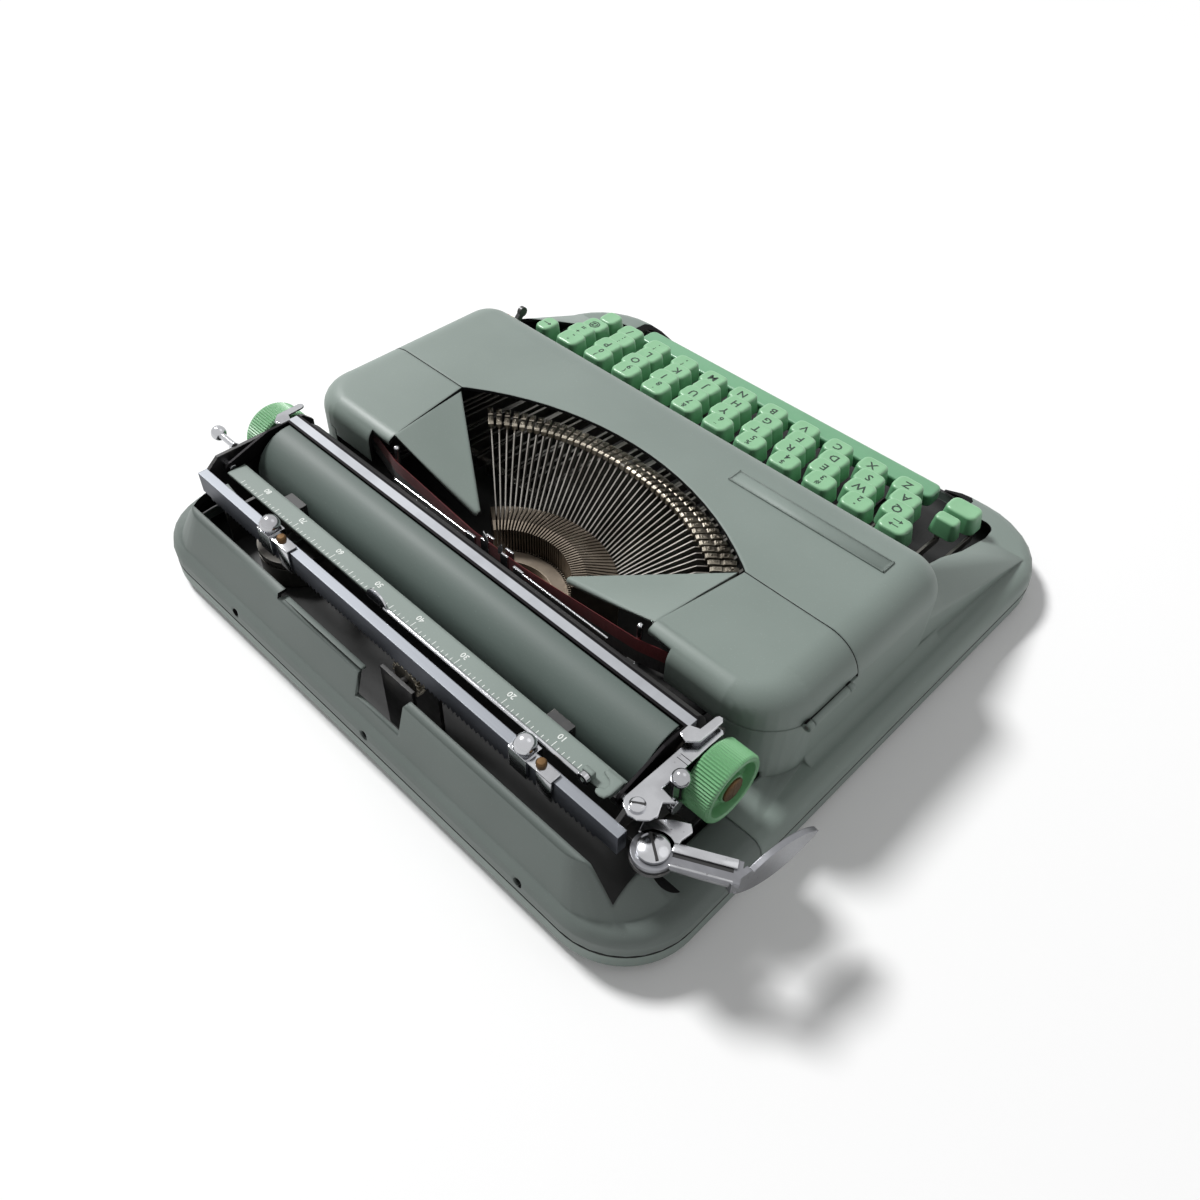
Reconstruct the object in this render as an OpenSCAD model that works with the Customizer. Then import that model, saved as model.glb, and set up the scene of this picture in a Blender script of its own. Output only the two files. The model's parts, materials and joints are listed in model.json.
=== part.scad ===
// Flat portable manual typewriter, as separate pieces with working joints.
// Millimetres. +X is the typist's right, -Y the front, +Z up.
// The origin is on the table, under the middle of the base.

/* [Body] */
// Width of the base and the body
body_w = 285; // [278:1:300]
// Depth of the base and the body
body_d = 281; // [277:1:292]
// Plan radius of the base's rear corners
corner_r = 30; // [28:1:34]
// Plan radius of the base's front corners
front_corner_r = 38; // [34:1:42]
// Height of the rubber feet
foot_h = 4; // [3:0.5:8]
// Radius of a rubber foot
foot_r = 9; // [6:0.5:12]
// Distance of the feet from the sides of the base
foot_inset = 30; // [26:1:40]
// Height of the base pan's rim
pan_h = 6; // [5:0.5:8]
// Gap between the base pan and the shells
pan_seam = 1; // [0.6:0.1:1.5]
// Thickness of the pressed sheet of the shells
sheet = 1.4; // [1:0.1:2]
// Height of the shoulder above the pan's rim
shoulder_rise = 11; // [10:0.5:13]
// Radius of the shoulder's outer edge
edge_r = 6; // [5:0.5:6]
// Slope of the shoulder, which falls towards the front, in degrees
shoulder_slope = 1; // [0.5:0.1:1]
// Place of the seam between the body shell and the rear shell, from the back
rear_seam = 65; // [60:1:70]

/* [Deck] */
// Height of the deck above the table
deck_z = 60.5; // [59:0.5:64]
// Distance of the deck's side walls from the sides of the base
wall_inset = 11.5; // [11:0.5:12.5]
// Radius of the deck's side edges and of its rolled front lip
deck_r = 15; // [12:0.5:15]
// Radius of the hollow fillet at the foot of the side walls
foot_fillet = 4; // [2:0.5:6]
// Distance of the deck's front lip from the front of the base
lip_inset = 91.5; // [90:0.5:93]
// Distance of the deck's rear wall from the back of the base
deck_rear_inset = 79; // [78:0.5:80]
// Plan radius of the deck's rear corners
deck_corner_r = 23; // [20:1:24]
// Radius of the covers' rear edge
deck_rear_r = 8; // [6:0.5:10]
// Plan radius of the deck's front corners
lip_corner_r = 16; // [14:1:18]
// Depth of the front lip's lower edge below the deck
lip_drop = 9; // [8.5:0.5:9.5]
// Distance of the key well's front edge from the front of the base
rim_w = 14.5; // [14:0.5:15]
// Distance of the key well's ends from the sides of the base
well_inset = 24; // [23.5:0.5:24.5]
// The same distance at the well's front corners
well_front_inset = 27.5; // [26.5:0.5:28]
// Plan radius of the key well's front corners
well_corner_r = 5; // [3:0.5:6]
// Distance of the carriage well's ends from the sides of the base
carriage_well_inset = 18.5; // [17:0.5:20]
// Half width of the type basket's opening at the cover seam
basket_half = 78.5; // [76:0.5:80]
// Radius of the arc at the front of the type basket's opening
basket_arc_r = 136.5; // [130:0.5:145]
// Distance of the foremost point of that arc from the back of the base
basket_front = 151.5; // [150:0.5:155]

/* [Rear shell] */
// Height of the rear wall above the pan's rim
rear_rise = 30; // [28:0.5:30.5]
// How far the rear wall leans in over its height
rear_lean = 8.5; // [6:0.5:10]
// How far the ends of the rear wall lean in over its height
rear_end_lean = 23; // [20:0.5:24]
// Width of the rear wall's rolled top edge
roll_w = 3.5; // [2.5:0.5:4]
// Distance from the back at which the rear wall has come down to the shoulder
wrap_d = 36; // [34:1:38]
// Width of the escapement's cut-out in the rear wall
cutout_w = 25; // [24:1:30]
// Depth of that cut-out below the rear wall's top
cutout_h = 13; // [10:0.5:14]
// Place of that cut-out's left end, left of the middle
cutout_left = 27; // [26:0.5:30]
// Width of the lowered edge beside the cut-out
notch_w = 50; // [40:1:60]
// Depth of the lowered edge below the rear wall's top
notch_h = 2.5; // [2:0.5:4]
// Radius of the holes in the rear wall
vent_r = 2; // [1.5:0.1:3]

/* [Ribbon covers] */
// Distance of the covers' front seam from the back of the base
cover_seam = 126.5; // [125:0.5:128]
// Height of the covers' side edge above the table
cover_edge_z = 47; // [46:0.5:48]
// Depth of the covers' rear wall below the deck
cover_rear_h = 17; // [14:0.5:19]
// Half width of the gap between the covers' rear walls
cover_gap_half = 83; // [80:0.5:86]
// Half width of the deck between the covers' cones
cone_base_half = 72; // [71:0.5:75]
// Distance of the cones' rear face from the back of the base
cone_rear = 85; // [84.5:0.1:86]
// Half distance between the cones' tips
tip_half = 27; // [24:0.5:30]
// Distance of the cones' tips from the back of the base
tip_back = 89; // [87:0.5:91]
// Depth of the cones' tips below the deck
tip_drop = 16; // [14:0.5:17]
// Length of a cover's hinge barrel
barrel_l = 20; // [14:1:22]
// Radius of the hinge pins
hinge_pin_r = 0.8; // [0.6:0.1:1]
// Wall of the hinge barrels
barrel_wall = 0.9; // [0.6:0.1:1.1]

/* [Keyboard] */
// Distance from row to row
row_pitch = 13.7; // [13.6:0.1:14]
// Drop from row to row
row_drop = 4.7; // [4:0.1:5]
// Height of the number row's tops above the table
key_top = 42; // [41:0.5:44]
// Distance of the number row from the front of the base
key_y_inset = 71.5; // [71:0.5:73]
// Distance of the number row's first key from the key well's left end
key_edge = 25.1; // [24.6:0.1:25.6]
// Distance of the number row's last place from the key well's right end
key_edge_right = 4; // [3.5:0.1:4.5]
// Width of a key at its skirt
key_w = 13; // [12:0.1:14]
// Depth of a key at its skirt
key_d = 12; // [11:0.1:12.2]
// Height of a key
key_h = 8.5; // [8:0.1:9]
// Plan radius of a key's corners
key_r = 4; // [3:0.1:5]
// Length over which the front rim comes down beside the space bar
front_ramp = 28; // [24:1:30]
// Distance of the space bar's ends from the ends of the key well
space_edge = 29.5; // [28.5:0.5:38]
// Depth of the space bar
space_d = 8.6; // [8:0.1:8.8]
// Height of the space bar's top above the table
space_top = 22.5; // [22:0.5:23]
// Height of the space bar itself
space_h = 6; // [5.5:0.1:6]
// Distance of the left shift key from the key well's left end
shift_edge = 15; // [14.5:0.1:15.5]
// Height of the shift keys' tops above the table
shift_top = 30; // [29:0.5:31]
// Width of the left shift key
shift_w = 17; // [15:0.5:18]
// Depth of the left shift key
shift_d = 12; // [11:0.1:12.2]
// Depth of the shift lock key
lock_d = 8; // [7.5:0.1:8.2]
// Width of the backspace key
backspace_w = 11; // [10:0.1:11.4]
// Thickness of the key levers
lever_t = 1.2; // [1:0.1:1.4]
// Depth of the key levers
lever_h = 4.5; // [4:0.1:5]
// Radius of the fulcrum rod
fulcrum_r = 1.5; // [1.2:0.1:1.8]
// Distance of the fulcrum rod from the back of the base
fulcrum_back = 132.5; // [131:0.5:135]
// Height of the fulcrum rod above the table
fulcrum_z = 20; // [19:0.5:21]
// Height of the levers' front ends above the table
lever_front_z = 16; // [15.5:0.5:16.5]
// Radius of the ribbon colour selector's lever
selector_r = 1.5; // [1.2:0.1:2]
// Length of the ribbon colour selector's lever
selector_l = 24; // [22:0.5:28]

/* [Type basket] */
// Number of typebars
bar_count = 42; // [30:2:42]
// Half angle of the typebar fan
fan_half = 50.5; // [47:0.5:52]
// Length from a typebar's pivot to its type
bar_l = 47; // [46:0.5:48]
// Thickness of a typebar
bar_t = 0.6; // [0.5:0.05:0.65]
// Depth of a typebar
bar_h = 4; // [3:0.1:4.2]
// Height of the middle typebar's pivot above the table
pivot_z0 = 20; // [19:0.5:21]
// Rise of the outermost typebars' pivots above the middle one's
pivot_rise = 9; // [7:0.5:10]
// Radius of the pivot pins
pivot_r = 0.8; // [0.6:0.1:1]
// Height of the type at rest above the table
type_rest_z = 50; // [48:0.5:51]
// Length of a type slug
slug_l = 11; // [9:0.5:12]
// Width of a type slug
slug_w = 2.4; // [2:0.1:2.6]
// Thickness of a type slug
slug_t = 2.5; // [2:0.1:3]
// Outer radius of the slotted segment
segment_r = 47; // [46:0.5:49]
// Radius at which the segment's slots end
slot_r = 28; // [27:0.5:29]
// Inner radius of the segment
segment_bore = 21; // [19:0.5:23]
// Height of the segment's ridge above the table
segment_top = 35; // [33:0.5:36]
// Height of the segment's shelf above the table
shelf_top = 24; // [22:0.5:24.5]
// Height of the segment's underside above the table
segment_low = 12; // [11:0.5:13]

/* [Ribbon] */
// Width of the ribbon
ribbon_w = 12.2; // [12:0.1:12.4]
// Thickness of the ribbon
ribbon_t = 0.4; // [0.3:0.05:0.5]
// Height of the ribbon's lower edge above the table
ribbon_z = 39.4; // [39:0.1:40]
// Radius of the spools' flanges
spool_r = 17; // [15:0.5:18]
// Radius of the spools' wound core
spool_core_r = 13; // [10:0.5:14]
// Thickness of the spools' flanges
flange_t = 1; // [0.8:0.1:1.2]
// Distance of the spools from the deck's side walls
spool_inset = 31; // [30:0.5:33]
// Distance of the spools from the back of the base
spool_back = 102.5; // [101:0.5:104]
// Radius of the spools' pins
spool_pin_r = 2; // [1.5:0.1:2.5]
// Half distance between the ribbon's guide posts
post_half = 68; // [67:0.5:69]
// Radius of the ribbon's guide posts
post_r = 1.2; // [1:0.1:1.3]
// Height of the guide posts' tops above the table
post_top = 57; // [55:0.5:58]
// Distance of the ribbon from the platen
ribbon_gap = 2.6; // [2.4:0.1:3]

/* [Platen] */
// Distance of the platen's axis from the back of the base
platen_back = 60.5; // [60:0.5:61]
// Height of the platen's axis above the table
platen_z = 45; // [44:0.5:46]
// Radius of the platen
platen_r = 13; // [12.5:0.1:13.2]
// Gap between the platen's ends and the carriage's end plates
platen_gap = 6.5; // [6:0.1:8]
// Radius of the platen's shaft
shaft_r = 3; // [2:0.1:3.5]
// Radius of the platen knobs
knob_r = 13.4; // [12:0.1:14]
// Width of the platen knobs
knob_w = 11.5; // [9:0.1:12]
// Radius of the line space ratchet
ratchet_r = 10; // [8:0.1:10.5]
// Teeth of the line space ratchet
ratchet_teeth = 36; // [24:1:40]
// Radius of the feed roller
feed_r = 4; // [3:0.1:4.5]

/* [Carriage] */
// Distance of the carriage's end plates from the sides of the base
plate_inset = 29; // [28.5:0.1:29.5]
// Thickness of the carriage's end plates
plate_t = 1.6; // [1.2:0.1:2]
// Width of the carriage rail
rail_w = 8; // [6:0.5:9]
// Height of the carriage rail's top above the shoulder
rail_rise = 6.5; // [6:0.1:7]
// Thickness of the carriage rail
rail_t = 5; // [4:0.1:5]
// Radius of the carriage's rollers
roller_r = 1.8; // [1.5:0.1:2]
// Thickness of the paper table
table_t = 1; // [0.8:0.1:1.2]
// Gap between the platen and the paper table
paper_gap = 2.6; // [2.2:0.1:3]
// Width of the margin scale
scale_w = 8; // [7:0.1:8.2]
// Distance of the margin scale's rear edge from the back of the base
scale_back = 27; // [26.9:0.1:28]
// Height of the margin scale above the platen's axis
scale_rise = 6.5; // [6:0.1:7]
// Width of the margin rail
margin_rail_w = 4; // [3.5:0.1:4.5]
// Height of the margin rail
margin_rail_h = 9.3; // [8:0.1:9.5]
// Distance of the margin rail's front face from the back of the base
margin_rail_back = 22.5; // [22.3:0.1:22.7]
// How far the margin rail stands out past the left end plate
margin_rail_over = 3.4; // [2:0.1:4]
// Distance from tooth to tooth of the rack, one typed character
rack_pitch = 2.38; // [2.3:0.01:2.54]
// Depth of the rack's teeth
rack_depth = 1.9; // [1.5:0.1:2]
// Teeth of the rack
rack_teeth = 92; // [90:1:94]
// Teeth of the escapement pinion
pinion_teeth = 20; // [18:1:22]
// Radius of the margin stops' buttons
button_r = 4; // [3:0.1:4.1]
// Place of the left margin stop, left of the middle
stop_left = 76; // [60:1:90]
// Place of the right margin stop, right of the middle
stop_right = 66; // [60:1:90]
// Radius of the paper support's rod
support_r = 0.8; // [0.6:0.05:0.85]
// Length of the paper support's rod
support_l = 100; // [80:1:110]

/* [Levers] */
// Width of the paper bail's strip
bail_w = 6; // [4:0.1:6.5]
// Thickness of the paper bail's strip and arms
bail_t = 1.2; // [0.8:0.1:1.3]
// Distance of the bail's pivot from the back of the base
bail_back = 30.5; // [30:0.1:31]
// Height of the bail's pivot above the platen's axis
bail_rise = 7; // [6:0.1:8]
// Radius of the carriage's pivot screws
screw_r = 1.5; // [1.2:0.1:1.6]
// Distance of the return lever's pivot from the left end plate
lever_out = 12; // [11:0.1:13]
// Distance of the return lever's pivot from the back of the base
lever_back = 25; // [24:0.1:26]
// Radius of the return lever's head
lever_head_r = 7; // [6:0.1:7.5]
// Thickness of the return lever
lever_plate_t = 2; // [1.6:0.1:2.2]
// Length of the return lever's arm, from its pivot to its paddle
lever_arm = 27; // [25:0.5:30]
// Length of the return lever's paddle
paddle_l = 36; // [30:0.5:38]
// Height of the return lever's paddle
paddle_h = 15; // [12:0.5:16]
// Radius of the balls on the line space and paper release levers
ball_r = 3.2; // [2.5:0.1:3.4]

/* [Clearances] */
// Running clearance of pins and shafts, on the radius
run_gap = 0.05; // [0.02:0.01:0.08]
// Gap between parts that slide past each other
slide_gap = 0.3; // [0.25:0.05:0.4]
// Gap along the seams of the shells and covers
seam_gap = 0.4; // [0.3:0.05:0.6]

/* [Hidden] */
$fn = 48;
hull_fn = 32;
tiny = 0.05;

half_w = body_w / 2;
half_d = body_d / 2;
pan_floor = foot_h + sheet;
rim_z = foot_h + pan_h;
skirt_z = rim_z + pan_seam;
shoulder_z = rim_z + shoulder_rise;
wall_x = half_w - wall_inset;
lip_y = -half_d + lip_inset;
deck_rear_y = half_d - deck_rear_inset;
well_x = half_w - well_inset;
well_front_x = half_w - well_front_inset;
well_y = -half_d + rim_w;
carriage_well_x = half_w - carriage_well_inset;
seam_y = half_d - cover_seam;
rear_seam_y = half_d - rear_seam;
rear_top = rim_z + rear_rise;
basket_centre_y = half_d - basket_front + basket_arc_r;
cone_rear_y = half_d - cone_rear;
wrap_r = (rear_top - shoulder_z) / 2;
cutout_x = -cutout_left;
vent_x = [73, -11, -93];
vent_z = shoulder_z - 5;

// Places of the platen and of what lines up with it
platen_y = half_d - platen_back;
ribbon_y = platen_y - platen_r - ribbon_gap;
print_y = ribbon_y - 0.6;
print_z = platen_z + 1;
post_y = ribbon_y - 6.2;
plate_half = half_w - plate_inset;
plate_out = plate_half + plate_t;
platen_half = plate_half - platen_gap;
margin_rail_half = plate_out + margin_rail_over;
knob_x = plate_out + 3.4;
shaft_half = knob_x + knob_w - 1;
// The right knob sits closer to its end plate than the left one
knob_shift = 2;

// Places along the keyboard
key_y = -half_d + key_y_inset;
fulcrum_y = half_d - fulcrum_back;
// Places along the number row, and how far each row is set over as a part of one place
key_places = 11;
key_pitch = (2 * well_x - key_edge - key_edge_right) / key_places;
row_part = [0, 0.355, 0.54, 0.878];
row_first = [1, 0, 0, 0];
row_last = [10, 10, 10, 9];
struck_row = 2;
struck_column = 4;
space_x = 2.9;
space_y = well_y + 1.2 + space_d / 2;
space_l = 2 * (well_x - space_edge);
space_arm_shift = 0.265 * key_pitch;
shift_x = well_x - shift_edge;
selector_x = well_x - 3;
selector_y = lip_y + 11;
selector_lean = 45;

// Hinges of the ribbon covers
hinge_x = wall_x + 0.8;
hinge_z = cover_edge_z;
hinge_y = seam_y + 18;
barrel_r = hinge_pin_r + barrel_wall;
pin_l = barrel_l + 6;

// Spools
spool_x = wall_x - spool_inset;
spool_y = half_d - spool_back;
spool_z = ribbon_z - slide_gap - flange_t;
spool_h = ribbon_w + 2 * slide_gap + 2 * flange_t;
spool_shelf_z = spool_z - slide_gap;
selector_z = spool_shelf_z - 2;

// Guide of the ribbon vibrator and the card holder beside it
slot_w = bar_t + 3 * run_gap;
guide_y = ribbon_y - 2;
guide_top = segment_low + 8;
vibrator_t = 0.8;
prong_top = ribbon_z + ribbon_w + 1.4;
card_t = 1;
card_y = ribbon_y + 2;
card_z = platen_z + 5;

// Carriage rail, its rollers and the channel that runs on them
rail_y = platen_y + 14;
rail_top = shoulder_z + rail_rise;
rail_low = rail_top - rail_t;
channel_z = rail_top + 2 * roller_r + 2 * slide_gap;
cage_t = 1;
channel_t = 1.5;
channel_w = rail_w + 2 * (channel_t + 1);
frame_x = carriage_well_x - 4;
frame_rear_y = deck_rear_y - 8;
frame_t = 1.5;
shelf_t = 1.5;
frame_tail = 20;
bracket_w = 10;
bracket_x = plate_half - 43.5;
plate_front = platen_y - 12.2;
plate_low = shoulder_z + 3;
plate_top = platen_z + 11.3;

// Margin rail and the escapement below it
margin_y = half_d - margin_rail_back;
margin_top = platen_z + 7.3;
margin_low = margin_top - margin_rail_h;
pinion_pitch_r = pinion_teeth * rack_pitch / 360 * 180 / PI;
pinion_x = -6 * rack_pitch;
pinion_w = margin_rail_w - 1;
pinion_y = margin_y + margin_rail_w / 2;
pinion_z = margin_low - rack_depth / 2 - pinion_pitch_r;
pinion_shaft_r = 1.5;
scale_y = half_d - scale_back;
scale_z = platen_z + scale_rise;
bail_y = half_d - bail_back;
bail_z = platen_z + bail_rise;
lever_x = -plate_out - lever_out;
lever_y = half_d - lever_back;
lever_z = platen_z + 1.5;
lever_turn = 208.5;
paddle_turn = 53.4;
clip_t = 1.3;
support_x = 10 - platen_half;
support_z = scale_z + 2.1;
support_w = 1.8;
support_y = scale_y + slide_gap + support_w / 2;
support_pin_r = 0.9;
tab_r = 6;
table_y = platen_y + 3.5;
table_z = platen_z - 2.5;
table_r = platen_r + 3.5;
bail_half = plate_half - 3.7;
bail_top = platen_z + platen_r + paper_gap;
feed_y = platen_y - 2;
feed_z = platen_z - platen_r - feed_r - slide_gap;
feed_shaft_r = 1.5;
space_lever_y = platen_y + 17;
space_lever_z = platen_z - 1;
space_lever_out = 3.3;
space_lever_l = 16;
release_y = platen_y + 24;
release_z = platen_z + 1;
release_l = 10;

// Spring drum on the base pan
drum_x = frame_x - 30;
drum_y = rail_y + 6;
drum_r = 16;
drum_pin_r = 3;
drum_z = pan_floor + 2 * slide_gap;
drum_h = rail_low - drum_z - 3;

green_grey = [0.46, 0.51, 0.47];
mint = [0.55, 0.8, 0.6];
steel = [0.6, 0.6, 0.6];
chrome = [0.85, 0.85, 0.87];
black = [0.1, 0.1, 0.1];
brass = [0.6, 0.5, 0.3];

// Angle of a typebar from straight ahead
function bar_angle(i) = (2 * i / (bar_count - 1) - 1) * fan_half;
// Height of a typebar's pivot
function bar_pivot_z(a) = pivot_z0 + pivot_rise * pow(a / fan_half, 2);
// Distance of a typebar's pivot from the printing point, in plan
function bar_pivot_r(a) = sqrt(pow(bar_l, 2) - pow(print_z - bar_pivot_z(a), 2));
// Rise of a typebar at rest and when it strikes
function bar_rest(a) = asin((type_rest_z - bar_pivot_z(a)) / bar_l);
function bar_strike(a) = asin((print_z - bar_pivot_z(a)) / bar_l);
struck_bar = bar_count / 2;
// Turn of a type on its bar; towards the ends of the fan the types lie flatter
slug_flat = 20;
function slug_turn(a) = bar_rest(a) + 90 - bar_rest(0) - bar_strike(0) - slug_flat * pow(a / fan_half, 2);
// Height of the shoulder at a place between front and back
function shoulder_at(y) = shoulder_z - (rear_seam_y - y) * tan(shoulder_slope);
// Place of a key: column and row from 0
function key_x(c, r) = key_edge - well_x + (row_part[r] + c) * key_pitch;
function row_y(r) = key_y - r * row_pitch;
function row_top(r) = key_top - r * row_drop;
// Keys at the ends of the rows, and how far their levers stand from the keys' middles
backspace_x = key_x(key_places, 0) - 2;
shift_right_x = key_x(row_last[3], 3) + key_w + 0.7;
shift_right_lever = backspace_x - 3.5 - shift_right_x;
shift_left_lever = 2 - shift_w / 2;
lock_lever = 2;
lock_x = 1.5 - shift_x;

// A shape and its mirror image at the other side
module both_sides() {
  children();
  mirror([1, 0, 0]) children();
}
// Extrudes an outline in Y and Z along X
module along_x(x0, x1) {
  translate([x0, 0, 0]) rotate([90, 0, 90]) linear_extrude(x1 - x0) children();
}
// Extrudes an outline in X and Z along Y
module along_y(y0, y1) {
  translate([0, y1, 0]) rotate([90, 0, 0]) linear_extrude(y1 - y0) children();
}
// Rectangle with round corners, centred
module round_rect(w, d, r) {
  square([w - 2 * r, d], center = true);
  square([w, d - 2 * r], center = true);
  for (x = [-1, 1]) for (y = [-1, 1])
    translate([x * (w / 2 - r), y * (d / 2 - r)]) circle(r);
}
// Plan of the base and of the shells' skirt, drawn in by inset
module base_plan(inset) {
  w = half_w - inset;
  d = half_d - inset;
  r = corner_r - inset;
  front_r = front_corner_r - inset;
  translate([-w, front_r - d]) square([2 * w, 2 * d - r - front_r]);
  translate([r - w, 0]) square([2 * (w - r), d]);
  translate([front_r - w, -d]) square([2 * (w - front_r), d]);
  for (s = [-1, 1]) {
    translate([s * (w - r), d - r]) circle(r);
    translate([s * (w - front_r), front_r - d]) circle(front_r);
  }
}
// Tilts a child with the shoulder
module sloped() {
  translate([0, rear_seam_y, shoulder_z]) rotate([shoulder_slope, 0, 0])
    translate([0, -rear_seam_y, -shoulder_z]) children();
}
// Cylinder along X or Y from its start
module bar_x(r, l) rotate([0, 90, 0]) cylinder(r = r, h = l);
module bar_y(r, l) rotate([-90, 0, 0]) cylinder(r = r, h = l);
// Everything behind a plane across the body
module behind(y) translate([-body_w, y, 0]) cube([2 * body_w, body_d, 2 * deck_z]);
// Everything in front of a plane across the body
module ahead_of(y) translate([-body_w, y - 2 * body_d, 0]) cube([2 * body_w, 2 * body_d, 2 * deck_z]);

// Lower part of the shells with its round edge, drawn in by inset
module skirt(inset) {
  hull() {
    for (a = [0, 30, 60, 90]) {
      step_in = inset + edge_r * (1 - cos(a));
      sloped() translate([0, 0, shoulder_z - inset - edge_r * (1 - sin(a)) - tiny])
        linear_extrude(tiny) base_plan(step_in, $fn = hull_fn);
    }
    translate([0, 0, skirt_z - (inset > 0 ? 1 : 0)])
      linear_extrude(tiny) base_plan(inset, $fn = hull_fn);
  }
}
// Section of the deck across the machine
module deck_section(inset) {
  w = wall_x - inset;
  top = deck_z - inset;
  r = deck_r - inset;
  translate([-w, rim_z]) square([2 * w, top - r - rim_z]);
  translate([r - w, rim_z]) square([2 * (w - r), top - rim_z]);
  for (s = [-1, 1]) translate([s * (w - r), top - r]) circle(r);
}
// Section of the deck from front to back, with its rolled front lip
module deck_profile(inset) {
  r = deck_r - inset;
  rear_r = deck_rear_r - inset;
  front = lip_y + inset;
  rear = deck_rear_y - inset;
  top = deck_z - inset;
  translate([front + r, rim_z]) square([rear - rear_r - front - r, top - rim_z]);
  translate([rear - rear_r, top - rear_r]) circle(rear_r);
  translate([rear - rear_r, rim_z]) square([rear_r, top - rear_r - rim_z]);
  translate([front + r, top - r]) circle(r);
  translate([front, rim_z]) square([r, top - r - rim_z]);
}
// Plan of the deck
module deck_plan(inset) {
  w = wall_x - inset;
  r = deck_corner_r - inset;
  rear = deck_rear_y - inset;
  front = lip_y + lip_corner_r;
  corner_x = wall_x - lip_corner_r;
  translate([-w, front]) square([2 * w, rear - r - front]);
  translate([r - w, front]) square([2 * (w - r), rear - front]);
  translate([-corner_x, lip_y - 1]) square([2 * corner_x, rear - r - lip_y]);
  for (s = [-1, 1]) {
    translate([s * (w - r), rear - r]) circle(r);
    translate([s * corner_x, front]) circle(lip_corner_r - inset);
  }
}
// Space of a front corner of the deck
module deck_corner_box() {
  translate([wall_x - lip_corner_r, lip_y - 1, 0]) cube([2 * lip_corner_r, lip_corner_r + 1, 2 * deck_z]);
}
// Space of a rear corner of the deck
module rear_corner_box() {
  translate([wall_x - deck_corner_r, deck_rear_y - deck_corner_r, 0])
    cube([2 * deck_corner_r, 2 * deck_corner_r, 2 * deck_z]);
}
// Rear corner of the deck, on which the edge radius goes from the side's to the rear's
module rear_corner(inset) {
  top = deck_z - inset;
  out = deck_corner_r - inset;
  intersection() {
    translate([wall_x - deck_corner_r, deck_rear_y - deck_corner_r, 0]) hull()
      for (a = [0:10:90]) {
        r = deck_r + (deck_rear_r - deck_r) * a / 90 - inset;
        rotate([0, 0, a]) rotate([90, 0, 0]) linear_extrude(tiny, center = true) {
          translate([0, rim_z]) square([out, top - r - rim_z]);
          translate([0, rim_z]) square([out - r, top - rim_z]);
          translate([out - r, top - r]) circle(r, $fn = hull_fn);
        }
      }
    rear_corner_box();
  }
}
module deck_solid(inset) {
  r = deck_r - inset;
  top = deck_z - inset;
  difference() {
    intersection() {
      along_y(lip_y, deck_rear_y) deck_section(inset);
      along_x(-wall_x, wall_x) deck_profile(inset);
      linear_extrude(deck_z) deck_plan(inset);
    }
    both_sides() deck_corner_box();
    both_sides() rear_corner_box();
  }
  both_sides() rear_corner(inset);
  // Rounded front corners
  both_sides() intersection() {
    translate([wall_x - lip_corner_r, lip_y + lip_corner_r, 0]) rotate_extrude() {
      translate([0, rim_z]) square([lip_corner_r - inset, top - r - rim_z]);
      intersection() {
        translate([lip_corner_r - deck_r, top - r]) circle(r);
        translate([0, rim_z]) square([lip_corner_r, deck_z]);
      }
      translate([0, rim_z]) square([lip_corner_r - deck_r, top - rim_z]);
    }
    deck_corner_box();
  }
}
// Wedge at one end of the keyboard, from the deck down to the front rim
module cheek(inset) {
  inner = well_front_x - (inset > 0 ? 1 : 0);
  drop = inset > 0 ? sheet : 0;
  side = wall_x - inset;
  foot = rim_z + 4;
  front = well_y + 10 + inset;
  hull() {
    along_y(lip_y - tiny, lip_y + lip_corner_r) polygon([
      [inner, foot], [side - 1, foot], [side - 1, deck_z - 24 - drop],
      [side - 9, deck_z - 13 - drop], [inner, deck_z - 9.5 - drop]
    ]);
    along_y(front, front + 1) polygon([
      [inner, foot], [side + 3, foot], [side + 3, shoulder_at(front) - drop],
      [inner, shoulder_at(front) - drop]
    ]);
  }
}
// Plan of the key well
module key_well_plan() {
  r = well_corner_r;
  x = well_front_x;
  polygon([
    [-well_x, lip_y], [-well_x, row_y(1)], [-x, well_y + r], [x, well_y + r], [well_x, row_y(1)],
    [well_x, lip_y]
  ]);
  translate([r - x, well_y]) square([2 * (x - r), 2 * r]);
  for (s = [-1, 1]) translate([s * (x - r), well_y + r]) circle(r);
}

module base_pan() {
  color(green_grey) {
    difference() {
      translate([0, 0, foot_h]) linear_extrude(pan_h) base_plan(0);
      translate([0, 0, pan_floor]) linear_extrude(pan_h) base_plan(sheet);
    }
    // Stud of the spring drum
    translate([drum_x, drum_y, foot_h + sheet / 2]) cylinder(r = drum_pin_r, h = drum_z + drum_h - foot_h);
  }
}

module rubber_feet() {
  color(black)
    for (x = [-1, 1]) for (y = [-1, 1])
      translate([x * (half_w - foot_inset), y * (half_d - foot_inset), 0]) {
        cylinder(r1 = foot_r - 1, r2 = foot_r, h = 1);
        translate([0, 0, 1]) cylinder(r = foot_r, h = foot_h - 1);
      }
}

// Ears of the cover hinges on the body's side walls
module hinge_ears() {
  both_sides()
    difference() {
      for (y = [hinge_y - pin_l / 2, hinge_y + barrel_l / 2 + slide_gap])
        translate([hinge_x, y, hinge_z]) bar_y(barrel_r, pin_l / 2 - barrel_l / 2 - slide_gap);
      translate([hinge_x, hinge_y - pin_l, hinge_z]) bar_y(hinge_pin_r + run_gap, 2 * pin_l);
    }
}

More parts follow.
